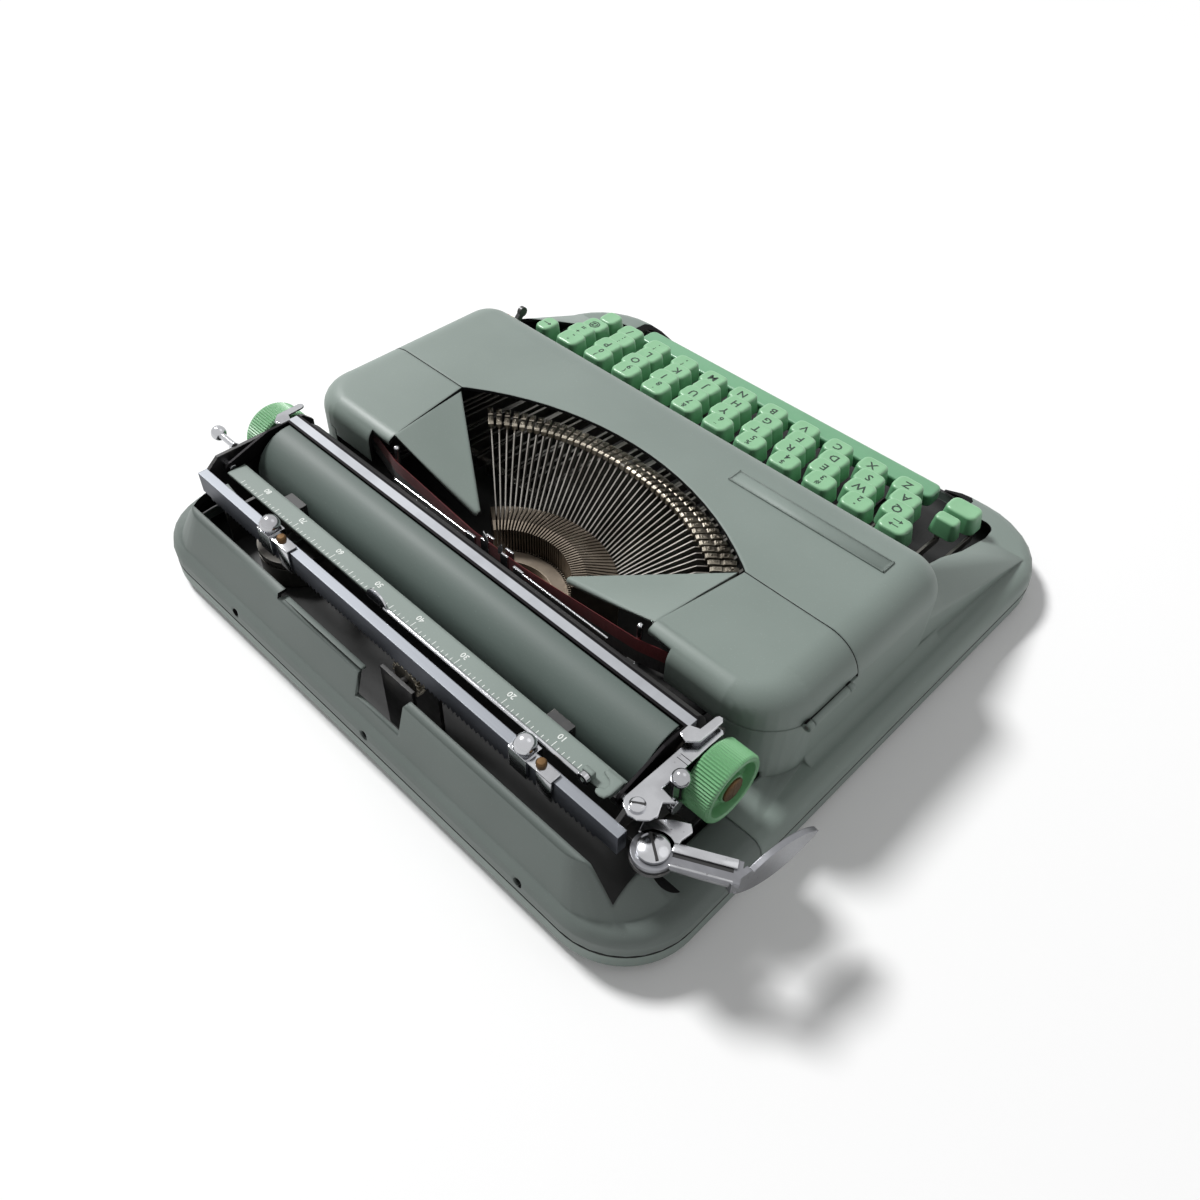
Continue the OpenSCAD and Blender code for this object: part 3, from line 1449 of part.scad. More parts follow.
// Margin stop: a clip over the margin rail with a button on top
module margin_stop(x) {
  color(chrome)
    translate([x, margin_y, 0]) {
      for (y = [-slide_gap - clip_t, margin_rail_w + slide_gap])
        translate([-4, y, margin_low + 1]) cube([8, clip_t, margin_rail_h]);
      translate([-4, -slide_gap - clip_t, margin_top + slide_gap])
        cube([8, margin_rail_w + 2 * (slide_gap + clip_t), clip_t]);
      translate([0, margin_rail_w / 2, margin_top + slide_gap + clip_t]) {
        cylinder(r = button_r - 1.2, h = 2);
        translate([0, 0, 1.5]) intersection() {
          sphere(r = button_r);
          cylinder(r = button_r, h = button_r);
        }
      }
    }
}
module margin_stop_left() margin_stop(-stop_left);
module margin_stop_right() margin_stop(stop_right);

module paper_support() {
  color(chrome)
    difference() {
      union() {
        along_y(support_y - support_w / 2, support_y + support_w / 2)
          translate([support_x, support_z]) circle(2.5 * support_pin_r);
        translate([support_x, support_y, support_z]) bar_x(support_r, support_l);
        // Half-moon tab at the free end
        along_y(support_y - support_r / 2, support_y + support_r / 2)
          translate([support_x + support_l + 4, support_z - 0.5]) intersection() {
            circle(tab_r);
            translate([-tab_r, 0]) square(2 * tab_r);
          }
      }
      translate([support_x, 0, support_z]) bar_y(support_pin_r + run_gap, body_d);
    }
}

base_pan();
rubber_feet();
body_shell();
rear_shell();
side_frames();
fulcrum_rod();
type_segment();
typebars();
type_slugs();
struck_typebar();
ribbon();
ribbon_guides();
ribbon_vibrator();
ribbon_spool_left();
ribbon_spool_right();
card_holder();
carriage_rail();
carriage_rollers();
escapement_bracket();
escapement_pinion();
spring_drum();
ribbon_cover_left();
ribbon_cover_right();
hinge_pins();
ribbon_selector();
key_caps_row_1();
key_caps_row_2();
key_caps_row_3();
key_caps_row_4();
key_levers_row_1();
key_levers_row_2();
key_levers_row_3();
key_levers_row_4();
struck_key();
struck_key_lever();
space_bar();
shift_left();
shift_right();
shift_lock();
backspace_key();
margin_release_key();
carriage_frame();
margin_rail();
margin_scale();
paper_table();
carriage_screws();
line_space_plate();
line_space_lever();
paper_release_lever();
paper_bail();
platen();
platen_shaft();
knob_left();
knob_right();
ratchet_wheel();
feed_roller();
return_lever();
margin_stop_left();
margin_stop_right();
paper_support();
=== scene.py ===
import json
import math

import bmesh
import bpy
from mathutils import Matrix, Vector

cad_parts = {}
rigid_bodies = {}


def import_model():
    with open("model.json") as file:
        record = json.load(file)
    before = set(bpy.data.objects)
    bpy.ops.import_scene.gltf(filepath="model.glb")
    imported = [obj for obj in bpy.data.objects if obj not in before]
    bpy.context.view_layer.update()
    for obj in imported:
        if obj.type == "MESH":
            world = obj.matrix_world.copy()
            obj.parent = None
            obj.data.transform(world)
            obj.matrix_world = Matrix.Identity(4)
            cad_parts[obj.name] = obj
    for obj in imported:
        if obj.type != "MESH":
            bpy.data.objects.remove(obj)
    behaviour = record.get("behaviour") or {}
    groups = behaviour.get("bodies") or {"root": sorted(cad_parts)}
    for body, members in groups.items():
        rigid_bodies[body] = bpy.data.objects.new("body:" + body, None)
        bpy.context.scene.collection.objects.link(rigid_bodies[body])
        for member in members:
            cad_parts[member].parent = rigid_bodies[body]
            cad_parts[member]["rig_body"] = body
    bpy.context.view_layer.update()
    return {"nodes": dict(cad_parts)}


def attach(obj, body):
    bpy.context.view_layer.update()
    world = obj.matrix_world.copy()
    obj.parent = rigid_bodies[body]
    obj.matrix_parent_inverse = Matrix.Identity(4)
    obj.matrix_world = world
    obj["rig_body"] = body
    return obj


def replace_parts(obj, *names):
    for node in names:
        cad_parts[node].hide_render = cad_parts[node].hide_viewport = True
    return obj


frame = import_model()
nodes = frame["nodes"]

MM = 0.001
WHOLE_TURN = 2 * math.pi
WHITE = (1.0, 1.0, 1.0, 1.0)


# Finishes


def tint(red, green, blue):
    """A colour as it is seen, 0 to 255, for a shader socket."""
    parts = [c / 255 for c in (red, green, blue)]
    return tuple(c / 12.92 if c <= 0.04045 else ((c + 0.055) / 1.055) ** 2.4 for c in parts) + (1.0,)


class Amount:
    """What a node gives; the operators add Math nodes."""

    def __init__(self, shading, socket):
        self.shading, self.socket = shading, socket

    def math(self, operation, other):
        return self.shading.node("ShaderNodeMath", {"operation": operation}, {0: self, 1: other})

    def __add__(self, other):
        return self.math("ADD", other)

    def __mul__(self, other):
        return self.math("MULTIPLY", other)

    __radd__ = __add__
    __rmul__ = __mul__


class Shading:
    """The nodes of a material or of the world."""

    def __init__(self, tree):
        self.tree = tree

    def node(self, kind, settings, inputs, output=0):
        """Adds a node: its settings first, then the values or links of its sockets."""
        made = self.tree.nodes.new(kind)
        for key, value in settings.items():
            setattr(made, key, value)
        for key, value in inputs.items():
            if isinstance(value, Amount):
                self.tree.links.new(value.socket, made.inputs[key])
            else:
                made.inputs[key].default_value = value
        return Amount(self, made.outputs[output])

    def seen(self):
        """1 for rays from the camera, and for those that metal and glass send on."""
        camera, glossy, transmission = (
            self.node("ShaderNodeLightPath", {}, {}, "Is %s Ray" % kind)
            for kind in ("Camera", "Glossy", "Transmission")
        )
        return camera + glossy + transmission

    def end_in(self, output, share, first, second):
        """Ends the tree in a mix of two shaders."""
        both = self.node("ShaderNodeMixShader", {}, {0: share, 1: first, 2: second})
        self.tree.links.new(both.socket, self.tree.nodes[output].inputs["Surface"])


class Finish(Shading):
    """One material of the machine, built on a Principled shader."""

    def __init__(self, name, **constants):
        self.material = bpy.data.materials.new(name)
        self.material.use_nodes = True
        super().__init__(self.material.node_tree)
        self.shader = self.tree.nodes["Principled BSDF"]
        for socket, value in constants.items():
            self.shader.inputs[socket.replace("_", " ")].default_value = value
        self.place = self.node("ShaderNodeTexCoord", {}, {}, "Object")

    def feed(self, **sockets):
        for socket, amount in sockets.items():
            self.tree.links.new(amount.socket, self.shader.inputs[socket.replace("_", " ")])

    def noise(self, scale, detail=3.0, stretch=(1, 1, 1)):
        place = self.node("ShaderNodeMapping", {}, {"Vector": self.place, "Scale": stretch})
        return self.node("ShaderNodeTexNoise", {}, {"Vector": place, "Scale": scale, "Detail": detail})

    def specks(self, scale, size):
        """Small round spots, 1 in their middles."""
        cells = self.node("ShaderNodeTexVoronoi", {}, {"Vector": self.place, "Scale": scale})
        return self.spread(cells, size, size * 0.4)

    def threads(self, scale, direction):
        """Waves along X, Y or Z."""
        return self.node(
            "ShaderNodeTexWave", {"bands_direction": direction}, {"Vector": self.place, "Scale": scale}
        )

    def spread(self, amount, low, high, to_low=0.0, to_high=1.0):
        """An amount between low and high, brought to another range and kept in it."""
        return self.node(
            "ShaderNodeMapRange", {}, {0: amount, 1: low, 2: high, 3: to_low, 4: to_high}
        )

    def mix(self, share, first, second):
        return self.node("ShaderNodeMix", {"data_type": "RGBA"}, {0: share, 6: first, 7: second}, 2)

    def along(self, axis):
        """Distance along X, Y or Z in the machine's frame."""
        return self.node("ShaderNodeSeparateXYZ", {}, {0: self.place}, "XYZ".index(axis))

    def facing_up(self):
        own = self.node("ShaderNodeTexCoord", {}, {}, "Normal")
        return self.node("ShaderNodeSeparateXYZ", {}, {0: own}, 2)

    def rounded(self, radius):
        """Normal of edges that are rounded off by radius."""
        return self.node("ShaderNodeBevel", {"samples": 4}, {"Radius": radius})

    def edges(self, rounded):
        """1 along edges, where the rounded normal leaves the flat one."""
        flat = self.node("ShaderNodeNewGeometry", {}, {}, "Normal")
        match = self.node("ShaderNodeVectorMath", {"operation": "DOT_PRODUCT"}, {0: rounded, 1: flat}, 1)
        return self.spread(match, 0.995, 0.86)

    def bump(self, height, distance, rounded=None, strength=1.0):
        inputs = {"Height": height, "Distance": distance, "Strength": strength}
        if rounded:
            inputs["Normal"] = rounded
        self.feed(Normal=self.node("ShaderNodeBump", {}, inputs))


def enamel(name, colours, roughness, radius, inside=None):
    """Stoved enamel on pressed sheet: soft clouds, fine dust, paler rubbed edges and faint orange peel."""
    colour, light, dark = colours
    paint = Finish(name, Coat_Roughness=0.3, Coat_Weight=0.04)
    cloud = paint.noise(16, 4.0)
    grain = paint.noise(1500, 2.0)
    rounded = paint.rounded(radius)
    edge = paint.edges(paint.rounded(0.6 * MM))
    shade = paint.mix(paint.spread(cloud, 0.3, 0.7), dark, colour)
    shade = paint.mix(paint.spread(grain, 0.62, 0.8) * 0.22, shade, light)
    shade = paint.mix(paint.specks(260, 0.09) * paint.spread(cloud, 0.5, 0.7) * 0.5, shade, light)
    shade = paint.mix(edge * paint.spread(paint.noise(300), 0.42, 0.62) * 0.4, shade, light)
    # An inside colour is painted shade: upward faces, such as the floor inside a pan, turn dark
    if inside:
        shade = paint.mix(paint.spread(paint.facing_up(), 0.5, 0.7), shade, inside)
    paint.feed(Base_Color=shade, Roughness=roughness + cloud * 0.12 + grain * 0.05)
    paint.bump(paint.noise(700, 2.0), 0.02 * MM, rounded)
    return paint


def bare_metal(
    name, colour, stain, roughness, stretch=(1, 1, 1), stain_share=0.5, pits=0.0, top=None, band=None
):
    """Metal with brushed streaks, stains in patches, small pits, a rubbed top or dark edges beside a band."""
    metal = Finish(name, Metallic=1.0)
    streak = metal.noise(900, 2.0, stretch)
    patch = metal.noise(60, 5.0)
    pit = metal.specks(420, 0.16) * metal.spread(patch, 0.45, 0.6) * pits
    rounded = metal.rounded(0.4 * MM)
    shade = metal.mix(metal.spread(patch, 0.4, 0.75) * stain_share, colour, stain)
    shade = metal.mix(pit, shade, stain)
    if top:
        shade = metal.mix(metal.spread(metal.facing_up(), 0.4, 0.8), shade, top)
    if band:
        axis, low, high = band
        place = metal.along(axis)
        below = metal.spread(place, low * MM, (low - 0.2) * MM)
        above = metal.spread(place, high * MM, (high + 0.2) * MM)
        shade = metal.mix(below + above, shade, tint(26, 25, 26))
    metal.feed(Base_Color=shade, Roughness=roughness + streak * 0.16 + pit * 0.3)
    metal.bump(streak, 0.02 * MM, rounded, 0.5)
    return metal


def moulded(name, colour, side, roughness):
    """Glossy moulded plastic, darker on its sides than on its top as painted shade."""
    plastic = Finish(name, Coat_Weight=0.25, Coat_Roughness=0.18)
    cloud = plastic.noise(140, 3.0)
    grain = plastic.noise(2600, 2.0)
    rounded = plastic.rounded(0.5 * MM)
    # Painted shade: faces that turn away from up take the darker side colour
    shade = plastic.mix(plastic.spread(plastic.facing_up(), 0.15, 0.9), side, colour)
    shade = plastic.mix(plastic.spread(cloud, 0.5, 0.8) * 0.22, shade, side)
    plastic.feed(Base_Color=shade, Roughness=roughness + cloud * 0.14 + grain * 0.05)
    plastic.bump(grain, 0.012 * MM, rounded)
    return plastic


def black_enamel():
    """Black enamel with dust, worn to the metal along its edges."""
    paint = Finish("black_enamel", Coat_Weight=0.2, Coat_Roughness=0.2)
    dust = paint.noise(220, 5.0)
    rounded = paint.rounded(0.5 * MM)
    worn = paint.edges(rounded) * paint.spread(paint.noise(420), 0.45, 0.6)
    shade = paint.mix(paint.spread(dust, 0.52, 0.78) * 0.5, tint(20, 20, 21), tint(64, 62, 58))
    shade = paint.mix(worn * 0.7, shade, tint(150, 148, 144))
    paint.feed(Base_Color=shade, Metallic=worn * 0.6, Roughness=0.3 + dust * 0.35)
    paint.bump(dust, 0.02 * MM, rounded)
    return paint


def dull_black():
    """Painted shade: flat black on the insides of the shells, where shade falls, with oily dust."""
    primer = Finish("dull_black", Specular_IOR_Level=0.15)
    dust = primer.noise(120, 5.0)
    shade = primer.mix(primer.spread(dust, 0.5, 0.8) * 0.5, tint(13, 13, 14), tint(34, 33, 31))
    primer.feed(Base_Color=shade, Roughness=0.8 + dust * 0.15)
    primer.bump(dust, 0.03 * MM)
    return primer


def rubber():
    """Black rubber with pale scuffs along X."""
    skin = Finish("black_rubber")
    scuff = skin.noise(90, 5.0, (0.3, 1, 1))
    grain = skin.noise(1800, 2.0)
    shade = skin.mix(skin.spread(scuff, 0.5, 0.8) * 0.6, tint(24, 24, 25), tint(66, 65, 63))
    skin.feed(Base_Color=shade, Roughness=0.5 + scuff * 0.3)
    skin.bump(grain, 0.04 * MM, skin.rounded(0.6 * MM))
    return skin


def inked_ribbon(black_high, red_low):
    """Woven ribbon, inked black along its lower half and dark red along its upper half."""
    cloth = Finish("inked_ribbon", Sheen_Weight=0.15)
    weave = cloth.threads(520.0, "X") * cloth.threads(520.0, "Z")
    worn = cloth.noise(180, 4.0)
    upper = cloth.spread(cloth.along("Z"), black_high * MM, red_low * MM)
    shade = cloth.mix(upper, tint(22, 20, 21), tint(104, 18, 22))
    shade = cloth.mix(cloth.spread(worn, 0.5, 0.75) * 0.4 + weave * 0.12, shade, tint(62, 30, 30))
    cloth.feed(Base_Color=shade, Roughness=0.75 + weave * 0.15)
    cloth.bump(weave, 0.06 * MM)
    return cloth


def printed(name, colour, worn_colour, roughness=0.5):
    """Printed or filled-in marks with a little wear; the same flat black also paints shade in screw slots and
    grooves.
    """
    ink = Finish(name)
    wear = ink.noise(700, 3.0)
    shade = ink.mix(ink.spread(wear, 0.5, 0.8) * 0.5, colour, worn_colour)
    ink.feed(Base_Color=shade, Roughness=roughness + wear * 0.2)
    return ink


# Each enamel has its colour, a lighter one for dust and rubbed edges, and a darker one for its clouds
GREEN_GREY = tint(127, 139, 133), tint(157, 168, 163), tint(118, 130, 124)
# The rear grey is the green grey darkened as painted shade, for the rear wall that faces away from the lamp
SHADED_REAR_GREY = tint(101, 110, 106), tint(132, 141, 137), tint(92, 101, 97)
# The table grey is the green grey darkened as painted shade: the paper table is the body's paint in less
# light
SHADED_TABLE_GREY = tint(80, 93, 88), tint(112, 124, 118), tint(73, 85, 80)
WIDE_FOLD, TIGHT_FOLD = 1.6 * MM, 0.8 * MM
BAIL_BAND = ("Y", 77.2, 80.8)
BLACK_HIGH, RED_LOW = 45.2, 45.6

body_paint = enamel("body_paint", GREEN_GREY, 0.42, WIDE_FOLD)
rear_paint_shaded = enamel("rear_paint_shaded", SHADED_REAR_GREY, 0.5, WIDE_FOLD)
# Painted shade: the paper table gets a darker copy of the body enamel
table_paint_shaded = enamel("table_paint_shaded", SHADED_TABLE_GREY, 0.5, TIGHT_FOLD)
# The pan's dark inside colour is painted shade on its upward faces
pan_paint_and_inner_shade = enamel("pan_paint_and_inner_shade", GREEN_GREY, 0.45, TIGHT_FOLD, tint(22, 23, 23))
# The second colour of each plastic is painted shade for its sides
key_mint = moulded("key_mint", tint(136, 187, 144), tint(100, 157, 115), 0.28)
# The space bar's green is the keys' green darkened as painted shade, for the shadow of the keys on it
space_mint_shaded = moulded("space_mint_shaded", tint(108, 162, 124), tint(84, 136, 102), 0.32)
knob_mint = moulded("knob_mint", tint(112, 170, 120), tint(102, 160, 111), 0.3)
black_paint = black_enamel()
# Painted shade for the insides of the shells
inside_shade_black = dull_black()
black_rubber = rubber()
ribbon_cloth = inked_ribbon(BLACK_HIGH, RED_LOW)
frame_steel = bare_metal("frame_steel", tint(122, 120, 116), tint(72, 64, 52), 0.3)
bar_steel = bare_metal("bar_steel", tint(150, 147, 142), tint(62, 54, 46), 0.3, (1, 0.2, 0.2), 0.7)
comb_steel = bare_metal("comb_steel", tint(134, 124, 112), tint(70, 60, 48), 0.36, stain_share=0.7)
rail_steel = bare_metal(
    "rail_steel", tint(88, 91, 98), tint(62, 64, 70), 0.36, (0.03, 1, 1), top=tint(120, 123, 128)
)
bail_steel = bare_metal(
    "bail_steel", tint(146, 148, 152), tint(104, 105, 109), 0.4, (1, 0.05, 1), 0.4, band=BAIL_BAND
)
lever_steel = bare_metal(
    "lever_steel", tint(132, 133, 137), tint(92, 91, 94), 0.24, (0.3, 1, 1), 0.4, 0.5
)
chrome = bare_metal("chrome", tint(188, 189, 192), tint(104, 103, 105), 0.08, (0.2, 1, 1), 0.45, 0.8)
type_metal = bare_metal(
    "type_metal", tint(184, 177, 162), tint(58, 50, 42), 0.28, stain_share=0.75, pits=0.8
)
hub_brass = bare_metal("hub_brass", tint(98, 76, 52), tint(46, 34, 24), 0.45, stain_share=0.9, pits=1.0)
legend_ink = printed("legend_ink", tint(34, 52, 42), tint(70, 104, 82))
scale_white = printed("scale_white", tint(226, 230, 226), tint(168, 178, 170))
# Black for the painted shade in screw slots and the lever's groove, and for the grades of the line-space
# gauge
slot_shade_and_mark_black = printed("slot_shade_and_mark_black", tint(14, 14, 15), tint(30, 28, 26), 0.6)
dot_red = printed("dot_red", tint(188, 40, 36), tint(150, 40, 36), 0.4)
dot_yellow = printed("dot_yellow", tint(222, 190, 70), tint(190, 160, 70), 0.4)
dot_white = printed("dot_white", tint(226, 226, 220), tint(190, 190, 184), 0.4)


# How pieces are made, in millimetres

SHARP, SHELL_SHARP, RIB_SHARP = 32, 40, 24
TOUCHING, NEAR = 0.001, 0.01
SHELL_MIDDLE = Vector((0, 20, 5)) * MM


def piece(name, work, body, finish, sharp=SHARP):
    """A finished bmesh as an object that rides on a body; edges past the sharp angle stay crisp."""
    bmesh.ops.scale(work, vec=(MM, MM, MM), verts=work.verts)
    mesh = bpy.data.meshes.new(name)
    work.to_mesh(mesh)
    work.free()
    mesh.materials.append(finish.material)
    mesh.polygons.foreach_set("use_smooth", [True] * len(mesh.polygons))
    mesh.set_sharp_from_angle(angle=math.radians(sharp))
    made = bpy.data.objects.new(name, mesh)
    bpy.context.scene.collection.objects.link(made)
    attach(made, body)
    return made


def bevel(work, edges, width, segments=2):
    bmesh.ops.bevel(
        work, geom=edges, offset=width, segments=segments, profile=0.5, affect="EDGES", material=-1,
        clamp_overlap=True,
    )


def upright_edges(work, length):
    """Edges that rise by more than a length."""
    return [e for e in work.edges if abs(e.verts[0].co.z - e.verts[1].co.z) > length]


def edges_at_top(work, top):
    return [e for e in work.edges if all(v.co.z > top - NEAR for v in e.verts)]


def new_verts(geometry):
    """The vertices among what an operator gives back."""
    return [item for item in geometry if isinstance(item, bmesh.types.BMVert)]


def block(low, high, round_edges=0.0, segments=2):
    """A box between two corners with rounded edges."""
    work = bmesh.new()
    low, high = Vector(low), Vector(high)
    bmesh.ops.create_cube(work, size=1.0)
    bmesh.ops.scale(work, vec=high - low, verts=work.verts)
    bmesh.ops.translate(work, vec=(low + high) / 2, verts=work.verts)
    if round_edges:
        bevel(work, work.edges[:], round_edges, segments)
    return work


def plate(outline, z, thickness, round_edges=0.2):
    """A flat sheet cut to an outline."""
    work = bmesh.new()
    face = work.faces.new([work.verts.new((x, y, z)) for x, y in outline])
    lifted = new_verts(bmesh.ops.extrude_face_region(work, geom=[face])["geom"])
    bmesh.ops.translate(work, vec=(0, 0, thickness), verts=lifted)
    bmesh.ops.recalc_face_normals(work, faces=work.faces[:])
    if round_edges:
        bevel(work, work.edges[:], round_edges, 1)
    return work


def turned(profile, steps):
    """A shape turned about Z from a profile of radius and height."""
    work = bmesh.new()
    points = [work.verts.new((r, 0, z)) for r, z in profile]
    sides = [work.edges.new((a, b)) for a, b in zip(points, points[1:])]
    bmesh.ops.spin(
        work, geom=points + sides, cent=(0, 0, 0), axis=(0, 0, 1), angle=WHOLE_TURN, steps=steps,
        use_merge=True,
    )
    bmesh.ops.remove_doubles(work, verts=work.verts[:], dist=TOUCHING)
    bmesh.ops.recalc_face_normals(work, faces=work.faces[:])
    return work


def moved(work, matrix):
    bmesh.ops.transform(work, matrix=matrix, verts=work.verts)
    return work


def at(x, y, z):
    return Matrix.Translation((x, y, z))


def turn(degrees, axis):
    return Matrix.Rotation(math.radians(degrees), 4, axis)


def joined(*works):
    """Several bmeshes as one."""
    whole = bmesh.new()
    for work in works:
        carrier = bpy.data.meshes.new("carrier")
        work.to_mesh(carrier)
        work.free()
        whole.from_mesh(carrier)
        bpy.data.meshes.remove(carrier)
    return whole


def repeated(work, places):
    """One bmesh set at each place; the first is used up."""
    carrier = bpy.data.meshes.new("carrier")
    work.to_mesh(carrier)
    work.free()
    whole = bmesh.new()
    for place in places:
        one = carrier.copy()
        one.transform(place)
        whole.from_mesh(one)
        bpy.data.meshes.remove(one)
    bpy.data.meshes.remove(carrier)
    return whole


def lettering(text, height, raised, detail=2):
    """A character or number as a solid, its middle at the origin, its top towards +Y."""
    curve = bpy.data.curves.new("lettering", "FONT")
    curve.body = text
    curve.size = height * 1.4
    curve.align_x = "CENTER"
    curve.align_y = "CENTER"
    curve.resolution_u = detail
    curve.extrude = raised / 2
    curve.offset = height * 0.025
    holder = bpy.data.objects.new("lettering", curve)
    bpy.context.scene.collection.objects.link(holder)
    mesh = bpy.data.meshes.new_from_object(holder.evaluated_get(bpy.context.evaluated_depsgraph_get()))
    work = bmesh.new()
    work.from_mesh(mesh)
    bpy.data.objects.remove(holder)
    bpy.data.curves.remove(curve)
    bpy.data.meshes.remove(mesh)
    xs, ys = [v.co.x for v in work.verts], [v.co.y for v in work.verts]
    return moved(work, at(-(min(xs) + max(xs)) / 2, -(min(ys) + max(ys)) / 2, 0))


def merged_copy(node):
    """A CAD node's mesh in millimetres, with its triangles joined."""
    work = bmesh.new()
    work.from_mesh(nodes[node].data)
    bmesh.ops.scale(work, vec=(1 / MM,) * 3, verts=work.verts)
    bmesh.ops.remove_doubles(work, verts=work.verts[:], dist=TOUCHING)
    return work


def smoothed(node, finish):
    """A shell with its pressed curves shaded smooth, and black painted shade on the faces towards its middle.
    """
    body = nodes[node]["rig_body"]
    made = piece(node + "_skin", merged_copy(node), body, finish, SHELL_SHARP)
    made.data.materials.append(inside_shade_black.material)
    for face in made.data.polygons:
        # Faces turned towards the middle take the black painted shade
        face.material_index = 1 if face.normal.dot(face.center - SHELL_MIDDLE) < 0 else 0
    even = made.modifiers.new("even_shading", "WEIGHTED_NORMAL")
    even.weight = 100
    even.keep_sharp = True
    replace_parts(made, node)


def levers_below(node, height):
    """What of a key node lies below its cap."""
    work = merged_copy(node)
    above = [f for f in work.faces if min(v.co.z for v in f.verts) > height - NEAR]
    bmesh.ops.delete(work, geom=above, context="FACES")
    return work


def dress(finish, *names):
    """Gives CAD nodes a finish."""
    for name in names:
        nodes[name].data.materials.clear()
        nodes[name].data.materials.append(finish.material)


# Finishes of the CAD nodes

ROWS = (1, 2, 3, 4)
dress(pan_paint_and_inner_shade, "base_pan")
dress(body_paint, "margin_scale", "body_shell", "ribbon_cover_left", "ribbon_cover_right")
# Painted shade: the rear shell gets a darker copy of the body enamel
dress(rear_paint_shaded, "rear_shell")
dress(table_paint_shaded, "paper_table")
dress(key_mint, "struck_key", *("key_caps_row_%d" % row for row in ROWS))
dress(key_mint, "margin_release_key", "backspace_key", "shift_left", "shift_right", "shift_lock")
dress(space_mint_shaded, "space_bar")
dress(knob_mint, "knob_left", "knob_right")
dress(black_paint, "side_frames", "escapement_bracket", "carriage_frame")
dress(black_paint, "ribbon_spool_left", "ribbon_spool_right", "ribbon_selector")
dress(black_rubber, "rubber_feet", "platen", "feed_roller")
dress(frame_steel, "fulcrum_rod", "struck_key_lever", *("key_levers_row_%d" % row for row in ROWS))
dress(frame_steel, "carriage_rail", "carriage_rollers", "spring_drum", "hinge_pins")
dress(frame_steel, "platen_shaft", "ratchet_wheel")
dress(bar_steel, "typebars", "struck_typebar")
dress(comb_steel, "type_segment")
dress(rail_steel, "margin_rail")
dress(bail_steel, "paper_bail")
dress(type_metal, "escapement_pinion", "type_slugs")
dress(ribbon_cloth, "ribbon")
dress(lever_steel, "return_lever")
dress(chrome, "ribbon_guides", "ribbon_vibrator", "card_holder", "carriage_screws", "paper_support")
dress(chrome, "line_space_lever", "line_space_plate", "paper_release_lever")
dress(chrome, "margin_stop_left", "margin_stop_right")
for shell in ("body_shell", "ribbon_cover_left", "ribbon_cover_right"):
    smoothed(shell, body_paint)
smoothed("rear_shell", rear_paint_shaded)


# Keyboard

KEY_W, KEY_D, KEY_H, KEY_CORNER, CORNER_ROOM = 15.2, 12.6, 8.5, 3.9, 1.3
TAPER_W, TAPER_D, CAP_RIM = 2.6, 1.8, 1.2
CROWN_RIM, CROWN_DIP = 0.8, 0.12
KEY_STEP, ROW_STEP, ROW_DROP = 18.9, 13.7, 4.7
FIRST_X, FIRST_Y, FIRST_TOP = -93.4, -69, 42
ROW_SHIFT = (0, 6.71, 10.21, 16.59)
SHIFT_TOP = 30
BACKSPACE_X, BACKSPACE_W = 112.5, 11
ROW_TEXT = [
    ['2"', "3#", "4$", "5%", "6_", "7&", "8'", "9(", "0)", "-*"],
    ["Q", "W", "E", "R", "T", "Y", "U", "I", "O", "P", "=+"],
    ["A", "S", "D", "F", "G", "H", "J", "K", "L", ";:", "@"],
    ["Z", "X", "C", "V", "B", "N", "M", ",?", ".!", "/"],
]
STRUCK_KEY = (2, 4)
INK = 0.12
LETTER_H, LETTER_UP = 4.3, 0.3
FIGURE_H, FIGURE_DOWN = 3.3, 1.9
SIGN_H, SMALL_SIGN_H, SIGN_UP = 2.7, 2.0, 2.3
SMALL_SIGNS = "_*'\""
ARROW = [(-2.2, -0.25), (1.0, -0.25), (1.0, -1.1), (2.6, 0), (1.0, 1.1), (1.0, 0.25), (-2.2, 0.25)]
ARROW_GAP = 1.6
SPACE_LOW, SPACE_HIGH = (-86.1, -127.6, 16.5), (91.9, -116.2, 22.5)
SPACE_CORNER, SPACE_RIM = 3.2, 1.4
# The lowest row leaves room for the arms of the space bar
SPACE_ARMS, ARM_ROOM = (-69.49, 81.71), 0.95


def key_place(row, column):
    """The middle of a typing key's top."""
    x = FIRST_X + ROW_SHIFT[row] + KEY_STEP * column
    return x, FIRST_Y - ROW_STEP * row, FIRST_TOP - ROW_DROP * row


def key_cap(width=KEY_W, depth=KEY_D, corner=KEY_CORNER):
    """A moulded key, its top in the middle of the XY plane."""
    work = block((-width / 2, -depth / 2, -KEY_H), (width / 2, depth / 2, 0))
    bevel(work, upright_edges(work, KEY_H / 2), corner, 6)
    top = [v for v in work.verts if v.co.z > -NEAR]
    bmesh.ops.scale(work, vec=((width - TAPER_W) / width, (depth - TAPER_D) / depth, 1), verts=top)
    bevel(work, edges_at_top(work, 0), CAP_RIM, 4)
    crown = max(work.faces, key=lambda f: f.calc_center_median().z)
    bmesh.ops.inset_region(work, faces=[crown], thickness=CROWN_RIM, depth=-CROWN_DIP)
    return work


def clear_of_arms(caps):
    """Narrows the caps that stand beside the arms of the space bar."""
    for vert in caps.verts:
        for arm_x in SPACE_ARMS:
            if abs(vert.co.x - arm_x) < ARM_ROOM:
                vert.co.x = arm_x - ARM_ROOM


